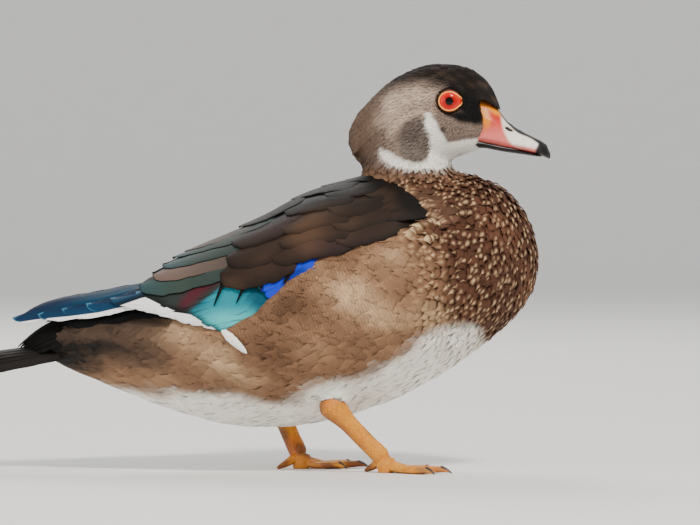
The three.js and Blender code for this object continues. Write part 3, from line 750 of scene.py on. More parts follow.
def clearOfFace(points):
    # false on the eye and in front of the line where the bill starts
    x, _, z = points.T
    eye = offFrom("eye", x, z, 1.1) > marks["eyeGap"]
    line = curved("billBase", z)
    line = np.where(z > marks["brow"][1], np.maximum(browLine(z), line), line)
    return (eye | ~isHead(points)) & ((x < line - 0.2) | (z < 150))


def underWing(points):
    x, y, z = points.T
    return (z > curved("wingBed", x) + 5) & (np.abs(y) > 5) & (x < 84) & (x > -60) & (z < 147)


def makeCoat(surface, finishes):
    roots, normals = surface.scatter(coatSizes["candidates"])
    keep = spaced(roots, featherGap(roots))
    roots, normals = roots[keep], normals[keep]
    keep = clearOfFace(roots) & ~underWing(roots)
    roots, normals = roots[keep], normals[keep]
    x, y, head = roots[:, 0], roots[:, 1], isHead(roots)
    front, rear = ~head & (x > coatSizes["frontFrom"]), ~head & (x <= coatSizes["rearFrom"])
    areas = {"head": head, "front": front, "flank": ~(head | front | rear), "rear": rear}
    for area, inArea in areas.items():
        part = "head" if area == "head" else "body"
        for side, word in sideWords.items():
            name = f"coat_{area}_{word}"
            chosen = inArea & ((y < 0) == (side == rightSide))
            made = layFeathers(surface, roots[chosen], normals[chosen], coatFeathers[area])
            points, faces, paint, barbs, bakeMap = made
            piece = meshFrom(name, points, faces, finishes[part], paint, barbs, bakeMap)
            setValues(piece, "ripple", rippled(points))
            part + "_feathers"
            print(name, int(chosen.sum()), "feathers,", 2 * len(faces), "triangles")


# Wings: broad feathers in tiers on the same bed as the frame's wings

# along x: the top of the bed, half its width, and the height of its middle
bedRows = np.array([
    [-116, 78, 8, 62], [-90, 86.5, 13.5, 64], [-65, 91.5, 21.5, 66], [-40, 99, 31, 68],
    [-15, 110, 40, 70], [10, 121, 46, 73], [35, 134, 50, 78], [60, 141, 51, 84],
    [80, 146, 49.5, 89], [100, 149, 45, 95],
], float)


def bedAt(x):
    # how high the bed rises over its middle, half its width, and the height of its middle
    top, half, mid = smoothCurve(bedRows[:, 0], bedRows[:, 1:], x).T
    return top - mid, half, mid


def onBed(x, z):
    # a place in the side view as x and the way down from the top along the bed
    rise, half, mid = bedAt(np.array([x]))
    angle = math.acos(float(np.clip((z - mid[0]) / rise[0], -0.999, 0.999)))
    return np.array([x, angle * (half[0] + rise[0]) / 2])


def bedPlace(side, x, s, lift):
    rise, half, mid = (part.reshape(x.shape) for part in bedAt(x.ravel()))
    angle = np.maximum(s, 0.4) * 2 / (half + rise)
    c, sn = np.cos(angle), np.sin(angle)
    outward = unit(np.stack([np.zeros(x.shape), sn * rise * side, c * half], -1))
    return np.stack([x, side * sn * half, mid + rise * c], -1) + outward * lift[..., None]


def between(ends, u):
    # a value that runs straight from one end to the other
    return ends[0] + (ends[1] - ends[0]) * u


def trackOn(start, end, settle):
    # a straight way from start to end, for vane; settle turns a place beside it and a lift into a point
    length = np.linalg.norm(end - start)
    way = (end - start) / length

    def place(u, across, lift):
        return settle(between((start[0], end[0]), u) + way[1] * across,
                      between((start[1], end[1]), u) - way[0] * across, lift)
    return place, float(length)


def trackOnBed(side, root, tip):
    return trackOn(onBed(*root), onBed(*tip), lambda x, s, lift: bedPlace(side, x, s, lift))


# what a broad feather is where its own settings say nothing else
vaneDefaults = {"along": 22, "across": 10, "tipStart": 0.72, "point": 2.2, "shaft": 0.15, "bow": 0.0,
                "lift": 0.0, "rootLift": 0.0, "climb": 0.3, "tilt": 0.8, "camber": 0.55, "rake": 0.0,
                "barbs": 430}


def vane(place, settings, seed):
    # one broad feather: two faces, a shaft ridge, and an edge that is never quite straight
    draw = np.random.default_rng(seed)
    f = {**vaneDefaults, **settings}
    rows, columns = f["along"], f["across"]
    u, v = np.meshgrid(np.linspace(0, 1, rows + 1), np.linspace(-1, 1, columns + 1), indexing="ij")
    out = np.abs(v)
    body = mixed(0.42, 1.0, ramp(u, 0, 0.4))
    late = np.clip((u - f["tipStart"]) / (1.0001 - f["tipStart"]), 0, 1)
    tip = np.sqrt(np.maximum(1 - late ** f["point"], 0.004))
    edge = 1 + 0.035 * np.sin(u * 37 + seed) * out + draw.normal(0, 0.012, (rows + 1, 1)) * out
    across = (v + f["shaft"] * (1 - v**2)) * f["width"] / 2 * body * tip * edge
    across = across + f["bow"] * np.sin(np.pi * u)
    rise = mixed(f["rootLift"], f["lift"], ramp(u, 0, f["climb"])) + f["tilt"] * v
    rise = rise - f["camber"] * v**2 + 0.28 * np.exp(-(v / 0.12) ** 2) * (1 - 0.8 * u)
    rise = rise + 0.12 * np.sin(u * 9 + seed * 1.3) * out
    half = 0.10 * (1 - 0.6 * u) + 0.04
    reach = u * (1 + f["rake"] * v * ramp(u, 0.3, 1)) / (1 + abs(f["rake"]))
    points = np.concatenate([place(reach, across, rise + way * half).reshape(-1, 3) for way in (1, -1)])
    upper = gridFaces(rows, columns)
    row, lower = columns + 1, u.size
    rim = np.concatenate([
        np.arange(rows) * row, rows * row + np.arange(columns),
        np.arange(rows, 0, -1) * row + columns, np.arange(columns, 0, -1)])
    follow = np.roll(rim, -1)
    wall = np.stack([rim, rim + lower, follow + lower, follow], 1)
    barbs = np.tile((u * f["barbs"] - out * 9).ravel(), 2)
    local = np.stack([(v + 1) / 2, u], -1).reshape(-1, 2) * [0.48, 1]
    bakeMap = np.concatenate([local, local + [0.5, 0]])
    faces = np.concatenate([upper, upper[:, ::-1] + lower, wall])
    return points, faces, barbs, bakeMap, np.tile(u.ravel(), 2), np.tile(v.ravel(), 2)


class Vanes:
    # gathers feathers into one piece, each with its own cell on the bake map
    def __init__(self):
        self.parts = []

    def add(self, made, paint, length, width, edging=None, band=None, edgeFrom=-2.0):
        # edging is a colour along the rim, and band gives how far inside the white each point is
        points, faces, barbs, local, u, v = made
        rim = np.minimum((1 - np.abs(v)) * width / 2, (1 - u) * length)
        self.parts.append({
            "points": points, "faces": faces, "barbs": barbs, "local": local,
            "paint": np.clip(paint(u, v, points), 0, 1),
            "rim": np.where((edging is not None) & (v > edgeFrom), rim, 9.0),
            "edging": np.broadcast_to([0, 0, 0] if edging is None else edging, points.shape),
            "band": band(u, v, points) if band else np.full(len(u), -9.0)})

    def joined(self, key):
        return np.concatenate([part[key] for part in self.parts])

    def piece(self, name, finish, slotName):
        columns = math.ceil(math.sqrt(len(self.parts)))
        start = 0
        for k, part in enumerate(self.parts):
            part["faces"] = part["faces"] + start
            start += len(part["points"])
            corner = np.array([k % columns, k // columns]) / columns
            part["local"] = corner + (0.03 + 0.94 * part["local"]) / columns
        piece = meshFrom(name, self.joined("points"), self.joined("faces"), finish,
                         self.joined("paint"), self.joined("barbs"), self.joined("local"))
        setValues(piece, "rim", self.joined("rim"))
        setColours(piece, self.joined("edging"), "edging")
        setValues(piece, "band", self.joined("band"))
        print(name, len(self.parts), "feathers")
        return piece


wingShades = palette(
    bronze="2c1f18", bronzeLight="5c4431", black="080606", greyGreen="34433d", greyPink="6b574e",
    teal="1f8797", tealDeep="0d4c60", tealPale="52c4c8", blue="1436c8", blueDeep="091660", maroon="4c1c26",
    navy="0a1b36", navyLight="124060", edgeBlue="39728e", mantle="0b0908", violet="2e1c27", greyDark="29302d")

# Edges of the wing's markings as seen from its side: keys and values in x and z, either way round
wingEdges = {
    "whiteTop": ([-72, -66, -55, -46, -31.6, -23, -20, -16, -11, -4],
                 [77.5, 80.5, 84.5, 87.6, 80.8, 79.8, 77.2, 74.8, 72.4, 66]),
    "sliver": ([-114, -99, -84, -69.5, -52, -30], [74.0, 76.3, 77.8, 79.8, 84.0, 88]),
    "teal": ([70, 76, 81, 86, 92, 98], [-32, -27, -24, -17, -9, -3]),
    "blue": ([88, 92, 97, 102, 106], [11, 12, 13, 17, 24]),
    "blueBreak": ([96, 103, 108], [24, 28, 31]),
}


def wingEdge(name, at):
    return np.interp(at, *wingEdges[name])


def whiteTop(order, x):
    # the upper edge of the white band, stepped from feather to feather
    return wingEdge("whiteTop", x) + 0.5 * np.sin(order * 2.4)


# Each paint takes the feather's order in its tier, u from root to tip, v from edge to edge, and the points


def paintScapular(order, u, v, points):
    # broad soft windows of bronze between near-black edges, darkest along the back
    x, y, z = points.T
    glow = ramp(wobble(points, 11, 21) + 0.5 * wobble(points, 5, 25), -0.5, 0.9)
    high = ramp(np.abs(y), 31, 19) + ramp(z, 126, 136) * 0.6 + 0.7 * ramp(x, 72, 92)
    return painted(
        wingShades, "bronze",
        ("bronzeLight", 0.6 * glow * ramp(u, 0.3, 0.7)),
        ("violet", 0.35 * ramp(wobble(points, 13, 22), 0.0, 0.9)),
        ("black", 0.55 * ramp(np.abs(v), 0.35, 1) + 0.3 * ramp(u, 0.8, 1)),
        ("mantle", np.clip(high, 0, 0.92)))


def paintTertial(order, u, v, points):
    # every third one is pinkish, and the others end in teal
    pinkish = order % 3 == 1
    line = ramp(v, -0.3, -0.7) + 0.8 * ramp(np.abs(v + 0.1), 0.08, 0.03) * ramp(u, 0.2, 0.5)
    return painted(
        wingShades, "greyPink" if pinkish else "greyGreen",
        ("greyDark", 0.55 * ramp(u, 0.9, 0.2) + 0.14 * order),
        ("tealDeep", 0.3 * ramp(u, 0.7, 1) * (not pinkish)),
        ("black", np.clip(line, 0, 0.9)))


def paintSecondary(order, u, v, points):
    x, _, z = points.T
    glow = ramp(wobble(points, 6, 23) + 0.5 * v, -0.7, 0.8)
    pale = 0.85 * ramp(z, 85, 76) * (0.4 + 0.6 * glow)
    teal = painted(wingShades, "tealDeep", ("teal", glow), ("tealPale", pale))
    return painted(
        wingShades, "greyDark",
        ("greyGreen", 0.5 * ramp(v, 0.6, -0.6)),
        ("navyLight", 0.8 * ramp(x, -43, -50)),
        ("maroon", 0.95 * striped(points, "maroon")),
        (teal, ramp(x - wingEdge("teal", z), -1.6, 2.2)),
        ("black", 0.5 * ramp(np.abs(v), 0.9, 1) * ramp(x, -30, -24)),
        ("black", 0.75 * ramp(whiteTop(order, x) + 2.0 - z, -0.8, 0.8)))


def paintCovert(order, u, v, points):
    # teal in front of the black bar, then blue up to a second black bar
    x, _, z = points.T
    glow = ramp(wobble(points, 6, 24), -0.6, 0.6)
    gap = x - wingEdge("blue", z)
    return painted(
        wingShades, "tealDeep",
        ("teal", glow),
        (painted(wingShades, "blueDeep", ("blue", ramp(glow + 0.4 * v, 0, 0.8))), ramp(gap, -0.3, 0.3)),
        ("black", ramp(np.abs(gap + 0.2), 1.3, 0.8)),
        ("black", ramp(np.abs(x - wingEdge("blueBreak", z)), 1.5, 1.0)))


def paintPrimary(order, u, v, points):
    return painted(
        wingShades, "navy",
        ("navyLight", ramp(v, -0.7, 0.4) * (0.35 + 0.1 * order)),
        ("tealDeep", 0.35 * ramp(u, 0.8, 0.45)),
        ("navy", 0.5 * ramp(v, -0.2, -0.9)))


def paintDark(order, u, v, points):
    return np.broadcast_to(wingShades["black"], points.shape)


def paintCape(strength, u, v, points):
    spot = np.exp(-((u - 0.72) / 0.13) ** 2 - (v / 0.32) ** 2) * strength * 0.8
    base = painted(shades, plumage(points), ("neck", 0.35)) * (0.75 + 0.3 * strength)
    return painted(shades, base, ("buff", np.clip(spot, 0, 0.85)))


def secondaryBand(order, u, v, points):
    return whiteTop(order, points[:, 0]) - points[:, 2]


def primaryBand(order, u, v, points):
    # a thin white line that stops before the tip
    return np.minimum(wingEdge("sliver", points[:, 0]) - points[:, 2], (0.94 - u) * 30)


# Tiers from the lowest feathers to the highest: first and last root and tip in x and z
wingTiers = {
    "primaries": {
        "count": 6, "roots": [(-38, 95), (14, 104)], "tips": [(-113.5, 76), (-50, 88)], "lift": (1.4, 2.6),
        "width": 13.5, "point": 1.7, "tipStart": 0.74, "shaft": 0.3, "rake": 0.05, "along": 40, "across": 16,
        "paint": paintPrimary, "band": primaryBand, "edging": "edgeBlue", "edgeFrom": 0.2},
    "secondaries": {
        "count": 10, "roots": [(26, 84), (2, 102)], "tips": [(-13, 75.2), (-63, 84.2)], "lift": (2.9, 3.8),
        "width": 12.5, "point": 1.5, "tipStart": 0.7, "shaft": 0.1, "rake": 0.2, "along": 36, "across": 14,
        "paint": paintSecondary, "band": secondaryBand},
    "coverts": {
        "count": 5, "roots": [(52, 104), (30, 112)], "tips": [(13, 88.5), (4, 100)], "lift": (4.0, 4.6),
        "width": 10, "point": 2.4, "tipStart": 0.7, "shaft": 0.1, "along": 30, "across": 14,
        "paint": paintCovert},
    "darkTips": {
        "count": 2, "roots": [(10, 108), (0, 110)], "tips": [(0.1, 83.6), (-10.7, 81.9)], "lift": (4.8, 4.9),
        "width": 3.4, "point": 1.2, "tipStart": 0.3, "shaft": 0.0, "bow": 1.2, "paint": paintDark},
    "tertials": {
        "count": 5, "roots": [(18, 107), (34, 130)], "tips": [(-48.5, 90), (-27, 107.5)], "lift": (4.6, 5.4),
        "width": 17, "point": 2.4, "tipStart": 0.6, "shaft": 0.25, "paint": paintTertial, "edging": "black"},
    "scapularsRear": {
        "count": 4, "roots": [(42, 108), (46, 136)], "tips": [(-8.5, 97), (1, 117)], "lift": (5.4, 6.0),
        "width": 21, "point": 2.6, "tipStart": 0.55, "paint": paintScapular},
    "scapularsMid": {
        "count": 5, "roots": [(70, 117), (72, 141)], "tips": [(18, 104.5), (26, 131)], "lift": (5.7, 6.2),
        "width": 20, "point": 2.8, "tipStart": 0.55, "paint": paintScapular},
    "scapularsFront": {
        "count": 5, "roots": [(90, 125), (78, 145)], "tips": [(46, 115), (42, 139)], "lift": (5.8, 6.3),
        "width": 18, "point": 2.8, "tipStart": 0.55, "paint": paintScapular},
    "shoulder": {
        "count": 7, "roots": [(106, 134), (80, 146)], "tips": [(71, 124), (54, 143)], "lift": (5.9, 6.3),
        "rootLift": -1.2, "climb": 0.75, "width": 13, "point": 2.6, "tipStart": 0.5, "paint": paintScapular},
}
# how far tips and widths stray within a tier, and what the tiers share
wingStray = {"along": 1.1, "up": 0.35, "width": 0.06, "bow": 0.9}
wingShared = {"rootLift": 0.8, "tilt": 0.5}


def makeWing(side, finish):
    vanes = Vanes()
    for t, tier in enumerate(wingTiers.values()):
        for k in range(tier["count"]):
            share = k / (tier["count"] - 1)
            seed = 1000 * (side + 2) + 40 * t + k
            vary = np.random.default_rng(seed).uniform(-1, 1, 4)
            stray = np.array([wingStray["along"] * vary[0], wingStray["up"] * vary[1]])
            root, tip = mixed(*tier["roots"], share), mixed(*tier["tips"], share) + stray
            place, length = trackOnBed(side, root, tip)
            shape = {**wingShared, "bow": wingStray["bow"] * vary[3], **tier}
            shape["width"] = tier["width"] * (1 + wingStray["width"] * vary[2])
            shape["lift"] = float(mixed(*tier["lift"], share))
            band = partial(tier["band"], k) if "band" in tier else None
            edging = wingShades[tier["edging"]] if "edging" in tier else None
            vanes.add(vane(place, shape, seed), partial(tier["paint"], k), length, shape["width"],
                      edging, band, tier.get("edgeFrom", -2.0))
    vanes.piece("wing_feathers_" + sideWords[side], finish, "wing_feathers")


# Small feathers of the neck and breast that run over the front of the wing
capeSizes = {"count": 130, "low": (108.5, 127.0), "high": (80.0, 147.0), "scatter": 2.0, "below": 2.5,
             "length": (7.0, 10.5), "width": 4.8, "fall": (0.32, 0.16), "lift": (1.8, 2.8), "spotted": 0.6}
capeShape = {"rootLift": 0.3, "climb": 0.6, "tilt": 0.2, "camber": 0.5, "point": 2.0, "tipStart": 0.4,
             "along": 8, "across": 6, "barbs": 60}


def makeCape(side, finish):
    draw = np.random.default_rng(60 + side)
    vanes = Vanes()
    for _ in range(capeSizes["count"]):
        root = mixed(capeSizes["low"], capeSizes["high"], draw.random())
        root = root + draw.normal(0, capeSizes["scatter"], 2)
        rise, _, mid = bedAt(root[:1])
        root[1] = min(root[1], rise[0] + mid[0] - capeSizes["below"])
        length, fall = draw.uniform(*capeSizes["length"]), draw.normal(*capeSizes["fall"])
        tip = root - length * np.array([math.cos(fall), math.sin(fall)])
        width, lift = capeSizes["width"] * draw.uniform(0.8, 1.2), draw.uniform(*capeSizes["lift"])
        strength = draw.uniform(0.3, 1.0) * (draw.random() < capeSizes["spotted"])
        place, _ = trackOnBed(side, root, tip)
        made = vane(place, {**capeShape, "width": width, "lift": lift}, draw.integers(1000))
        vanes.add(made, partial(paintCape, strength), length, width)
    vanes.piece("cape_" + sideWords[side], finish, "body_feathers")


armSizes = {"voxel": 1.3, "smooth": 14, "frontLift": 0.7, "rearLift": -1.2}


def makeWingSkin(finish):
    # the arm under the feathers, kept inside the frame's wing
    for word in sideWords.values():
        skin = blended("wing_skin_" + word, ["wing_" + word], armSizes["voxel"], armSizes["smooth"], finish)
        points = pointsOf(skin)
        rise, half, mid = bedAt(points[:, 0])
        # brought down onto the bed, and below it behind the arm, so that only feathers show
        lift = mixed(armSizes["frontLift"], armSizes["rearLift"], ramp(points[:, 0], -20, -50))
        out = np.hypot(points[:, 1] / half, (points[:, 2] - mid) / rise)
        share = np.minimum(1, (1 + 2 * lift / (half + rise)) / np.maximum(out, 0.01))
        points[:, 1] *= share
        points[:, 2] = mid + (points[:, 2] - mid) * share
        setPoints(skin, points)
        setColours(skin, np.broadcast_to(wingShades["mantle"], points.shape))
        setValues(skin, "barb", points[:, 0] * 6)


# Tail: long dark feathers in a roof-shaped fan, with coverts over and under their roots

tailSizes = {"rootX": -66.0, "tipX": -156.4, "height": (67.0, 55.0), "pairs": 6, "arch": 1.3,
             "half": (8.0, 20.0), "drop": (4.0, 9.0), "step": 0.34, "roundBy": 15.0, "length": 88}
tailShape = {"width": 13.5, "tilt": 0.0, "camber": 0.25, "point": 2.4, "tipStart": 0.8, "along": 26,
             "across": 12, "barbs": 560, "shaft": 0.0}
tailShades = palette(dark="151211", brown="2a231f", black="080706")

# from the middle of a tier to its edges, and from root to tip; the first two lie over the tail
tailTiers = [
    {"count": 11, "tips": (-111, -104), "root": -70, "heights": (79, 62), "spread": 10, "width": 12,
     "droop": 6, "curve": 2.5, "shade": "0f0c0b"},
    {"count": 9, "tips": (-98, -84), "root": -54, "heights": (82, 72), "spread": 15, "width": 11,
     "droop": 15, "curve": 1, "shade": "46372c"},
    {"count": 5, "tips": (-101, -94), "root": -62, "heights": (51.5, 56.0), "spread": 9, "width": 16,
     "droop": -2, "curve": 1, "shade": "2c221c"},
    {"count": 6, "tips": (-87, -80), "root": -50, "heights": (45.5, 52.0), "spread": 11, "width": 16,
     "droop": -2, "curve": 1, "shade": "54402f"},
]
tailCovertShape = {"tilt": 0.15, "camber": 0.5, "point": 1.8, "tipStart": 0.55, "along": 14, "across": 8,
                   "barbs": 120}
tailCovertLength = 40


def tailPlace(side, order):
    t = tailSizes
    out = (order + 0.35) / t["pairs"]
    ends = (t["rootX"], t["tipX"] + t["roundBy"] * out**2)

    def place(u, across, lift):
        half = between(t["half"], u)
        turn = np.clip(out * t["arch"] + across / (0.8 * half + 4), -0.5, 1.75)
        z = between(t["height"], u) - between(t["drop"], u) * (1 - np.cos(turn)) - t["step"] * order + lift
        return np.stack([between(ends, u), side * half * np.sin(turn), z], -1)
    return place


def tailCovertPlace(tier, order):
    off = 2 * order / (tier["count"] - 1) - 1
    ends = (tier["root"], between(tier["tips"], abs(off)))

    def place(u, across, lift):
        y = off * tier["spread"] * (1 - 0.35 * u) + across
        z = between(tier["heights"], u ** tier["curve"]) - tier["droop"] * (y / tier["spread"]) ** 2
        return np.stack([between(ends, u), y, z + lift], -1)
    return place


def paintTail(u, v, points):
    return painted(
        tailShades, "dark",
        ("brown", 0.5 * ramp(wobble(points, 9, 31), -0.3, 0.9)),
        ("black", 0.5 * ramp(v, 0.3, -0.9) + 0.3 * ramp(u, 0.85, 1)),
        (tailShades["brown"] * 1.7, ramp(np.abs(v - 0.12), 0.07, 0.03) * 0.2))


def paintTailCovert(tint, u, v, points):
    return tinted(tint, tint * 0.55, ramp(np.abs(v), 0.6, 1))


def makeTail(finish):
    vanes = Vanes()
    for side in sideWords:
        for order in reversed(range(tailSizes["pairs"])):
            made = vane(tailPlace(side, order), tailShape, 300 + order + 20 * side)
            vanes.add(made, paintTail, tailSizes["length"], tailShape["width"])
    for n, tier in enumerate(tailTiers):
        for order in range(tier["count"]):
            shape = {**tailCovertShape, "width": tier["width"]}
            made = vane(tailCovertPlace(tier, order), shape, 400 + 20 * n + order)
            vanes.add(made, partial(paintTailCovert, colour(tier["shade"])), tailCovertLength, tier["width"])
    piece = vanes.piece("tail_feathers", finish, "tail_feathers")
    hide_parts("tail")


# Eyes and lids

eyeSizes = {"centre": (105.4, 10.1, 185.0), "radius": 7.25, "pupil": 2.05, "blur": 0.12, "point": 0.34,
            "around": 64}
lidSizes = {"radius": 5.2, "flat": 0.9, "thick": 0.36, "out": 0.15, "count": 96, "around": 14}
eyeShades = palette(deep="a40a03", bright="d81c06", rim="3a2c24", pupil="040303")


def ringGrid(rings):
    # faces between rings that hold the same number of points each
    count, around = rings.shape[:2]
    i, j = np.meshgrid(np.arange(count - 1), np.arange(around), indexing="ij")
    a = (i * around + j).ravel()
    b = (i * around + (j + 1) % around).ravel()
    return rings.reshape(-1, 3), np.stack([a, b, b + around, a + around], 1)


def eyeFinish():
    finish = Finish("eye", 0.04, Specular_IOR_Level=0.12, Coat_Weight=0.22, Coat_Roughness=0.02)
    shade = finish.attribute("plume")
    streaks = finish.noise(900, 4.0, 0.6)
    finish.feed("Base Color", finish.mix(streaks * 0.5, shade, finish.toned(shade, (1.1, 1.5, 1.4))))
    return finish.material


def lidFinish():
    finish = Finish("eyelid", 0.4, Coat_Weight=0.3)
    grain = finish.noise(900, 3.0, 0.6)
    finish.feed("Base Color", finish.mix(grain, (0.80, 0.20, 0.03, 1), (0.98, 0.50, 0.08, 1)))
    finish.bump(grain, 0.0002, 0.6)
    return finish.material


def makeEyeball(side, word, finish):
    x0, y0, z0 = eyeSizes["centre"]
    radius, point, pupil, blur = (eyeSizes[key] for key in ("radius", "point", "pupil", "blur"))
    turns = np.linspace(0, 2 * np.pi, eyeSizes["around"], endpoint=False)
    # closer rings in front, where the iris is
    tilts = np.concatenate([np.linspace(0.0001, 0.75, 30), np.linspace(0.8, np.pi - 0.0001, 20)])
    rings = [np.stack([
        x0 + radius * np.sin(t) * np.cos(turns),
        side * (y0 + radius * np.cos(t)) + 0 * turns,
        z0 + radius * np.sin(t) * np.sin(turns)], -1) for t in tilts]
    points, faces = ringGrid(np.stack(rings))
    if side == leftSide:
        faces = faces[:, ::-1]
    # the iris is drawn out towards the bill like the lid, and the pupil stays round
    off = np.hypot(points[:, 0] - x0, points[:, 2] - z0)
    way = np.maximum((points[:, 0] - x0) / np.maximum(off, 0.01), 0) ** 7
    drawn = off / (1 + 0.8 * point * way)
    paint = painted(eyeShades, "deep", ("bright", ramp(drawn, 2.4, 4.2)), ("rim", ramp(drawn, 5.0, 5.3)),
                    ("pupil", ramp(off, pupil + blur, pupil - blur)))
    eye = meshFrom("eye_ball_" + word, points, faces, finish, paint)
    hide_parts("eye_" + word)


def makeEyelid(side, word, finish):
    # a fleshy ring, drawn out to a point in front
    x0, y0, z0 = eyeSizes["centre"]
    angles = np.linspace(0, 2 * np.pi, lidSizes["count"], endpoint=False)
    section = np.linspace(0, 2 * np.pi, lidSizes["around"], endpoint=False)
    rings = []
    for a in angles:
        front = max(math.cos(a), 0) ** 7
        alongX, alongZ = math.cos(a), math.sin(a)
        outX = lidSizes["radius"] * (1 + eyeSizes["point"] * front) * alongX
        outZ = lidSizes["radius"] * (lidSizes["flat"] - 0.08 * front) * alongZ
        thick = lidSizes["thick"] * (1 + 0.7 * front)
        wide = thick * (1 + 0.06 * math.sin(a * 23) + 0.04 * math.sin(a * 41))
        depth = math.sqrt(eyeSizes["radius"] ** 2 - min(math.hypot(outX, outZ), 6.3) ** 2) + lidSizes["out"]
        rings.append([[x0 + outX + alongX * wide * math.cos(s),
                       side * (y0 + depth + 0.75 * thick * math.sin(s)),
                       z0 + outZ + alongZ * wide * math.cos(s)] for s in section])
    points, faces = ringGrid(np.array(rings + [rings[0]]))
    if side == rightSide:
        faces = faces[:, ::-1]
    lid = meshFrom("eyelid_" + word, points, faces, finish)


# Bill

billMarks = {"nail": 149.3, "tuck": 2.6, "swell": 0.45, "lift": 0.5, "thin": 0.62, "nostril": (135.7, 171.0),
             "nostrilSize": (2.1, 0.85), "nostrilDepth": 0.9}
billShades = palette(red="cf2d1c", pink="ec7f76", pale="fff6ec", yellow="f59200", black="0e0c0b",
                     lower="100c0b")
# the two halves: the frame's node, voxel, smoothing and slot
billHalves = {"bill_top": ("bill_upper", 0.32, 12, "bill"),
              "bill_low": ("bill_lower", 0.22, 20, "lower_bill")}


def nostril(x, z):
    # the distance from the middle of a slanting hole, 1 at its rim
    x0, z0 = billMarks["nostril"]
    wide, tall = billMarks["nostrilSize"]
    return np.hypot((x - x0) / wide, (z - z0 + 0.35 * (x - 135.8)) / tall)


def billColours(points):
    x, y, z = points.T
    side = np.abs(y)
    nx = x + 0.7 * wobble(points, 3, 41)
    nz = z + 0.5 * wobble(points, 2.2, 42)
    edge = curved("billPale", nz)
    overLip, onLip = z - curved("mouth", x), ramp(x, 118, 121)
    gold = np.maximum(ramp(nx - curved("billBase", z), 3.8, 1.2) * ramp(nz, 168, 176),
                      ramp(nx - browLine(nz), -6.5, -2.5) * ramp(z, 176, 179))
    ridge = ramp(curved("billRidge", x) - nz - curved("billStripe", x), 0.5, -0.5) * ramp(nx, 130.5, 132.5)
    ridge = np.maximum(ridge, ramp(side, 2.4, 1.6) * ramp(nx, 127, 130) * ramp(z, 165, 167))
    return painted(
        billShades, "red",
        ("pink", ramp(nz, 177, 166) * 0.85),
        ("pale", ramp(nx - edge, -1.2, 1.2)),
        ("pink", ramp(nx - edge, -1, 2) * ramp(overLip, 3.4, 1.8) * 0.9),
        (billShades["red"] * 0.8, ramp(overLip, 1.5, 0.8) * onLip * 0.7),
        ("black", ramp(overLip, 0.75, 0.3) * onLip * 0.9),
        ("yellow", gold),
        # painted shade: the nostril dent is painted black for the dark inside the opening
        ("black", ramp(nostril(x, z), 1.15, 0.8) * (side > 1.5)),
        ("black", ridge),
        ("black", ramp(nx + 0.3 * (160 - z), billMarks["nail"] - 1.0, billMarks["nail"] + 0.6)))


def billFinish(name, roughness, coat):
    finish = Finish(name, roughness, Specular_IOR_Level=0.3, Coat_Weight=coat, Coat_Roughness=0.3,
                    Subsurface_Weight=0.05)
    shade = finish.attribute("plume")
    grain, pores = finish.noise(500, 5.0, 0.6), finish.noise(1800, 2.0, 0.6)
    finish.feed("Base Color", finish.mix(grain, finish.toned(shade, (0.8, 0.76, 0.74)), shade))
    finish.feed("Roughness", grain * 0.25 + (roughness - 0.12))
    finish.bump(grain * 0.7 + pores * 0.3, 0.00025, 0.5)
    return finish.material


def drawUpRidge(points, lip):
    # remeshing rounds the ridge off, so it is drawn up again to its line in the photo
    x, z = points[:, 0], points[:, 2]
    first, step, count = 118, 0.8, 61
    cells = np.clip((x - first) / step, 0, count - 1).astype(int)
    tops = np.full(count, -1.0)
    np.maximum.at(tops, cells, z)
    found = tops > 0
    top = np.interp(x, first + step / 2 + step * np.flatnonzero(found), tops[found])
    share = np.clip((z - lip) / np.maximum(top - lip, 1.5), 0, 1)
    gain = np.clip(curved("billRidge", x) - top, -0.5, 3.0) * ramp(x, 117, 121)
    points[:, 2] += gain * share * ramp(x, 156.3, 154.5)


def makeBill(finishes):
    for name, (node, voxel, smooth, slotName) in billHalves.items():
        piece = blended(name, [node], voxel, smooth, finishes[name])
        points, normals = pointsOf(piece), normalsOf(piece)
        lip = curved("mouth", points[:, 0])
        if name == "bill_top":
            drawUpRidge(points, lip)
            paint = billColours(points)
        else:
            paint = np.broadcast_to(billShades["lower"], points.shape)
        x, _, z = points.T.copy()
        # the base runs on under the feathers, and the two halves close at the mouth
        points[:, 0] -= billMarks["tuck"] * ramp(x - curved("billBase", z), 1.6, 0.3)
        if name == "bill_top":
            side = np.abs(points[:, 1])
            swell = ramp(z, 176, 180) * ramp(x, 132, 128) * ramp(side, 1, 3)
            points[:, 1] += np.sign(points[:, 1]) * billMarks["swell"] * swell
            hole = ramp(nostril(x, z), 1.2, 0.5) * (np.abs(points[:, 1]) > 1.5)
            points -= normals * (billMarks["nostrilDepth"] * hole)[:, None]
            points[:, 2] -= 0.25 * np.maximum(-normals[:, 2], 0)
        else:
            points[:, 2] = np.where(z < lip, lip + (z - lip) * billMarks["thin"], z)
            points[:, 2] += billMarks["lift"] * np.maximum(normals[:, 2], 0)
            points[:, 1] *= 1 - 0.08 * np.maximum(normals[:, 2], 0)
        setPoints(piece, points)
        setColours(piece, paint)


# Legs

legShades = palette(yellow="eda01c", orange="b94f0a", dark="4a2c1a", pink="e09a58")
# each foot as in the frame: where its toes meet, the way it points, and which hand it is
feet = {"right": {"base": (73, -24), "heading": -20, "mirror": 1, "ankle": (46.5, -31, 34)},
        "left": {"base": (30.5, 11), "heading": 8, "mirror": -1, "ankle": (18, 30, 34)}}
toes = [{"length": 27, "turn": 26}, {"length": 37, "turn": 2}, {"length": 34, "turn": -20}]
legSizes = {"voxel": 0.42, "smooth": 7, "swell": 1.15, "footSwell": 0.25, "knob": 0.55}
clawSizes = {"from": 0.85, "thick": 1.25, "rise": 1.9, "steps": 12, "around": 12}


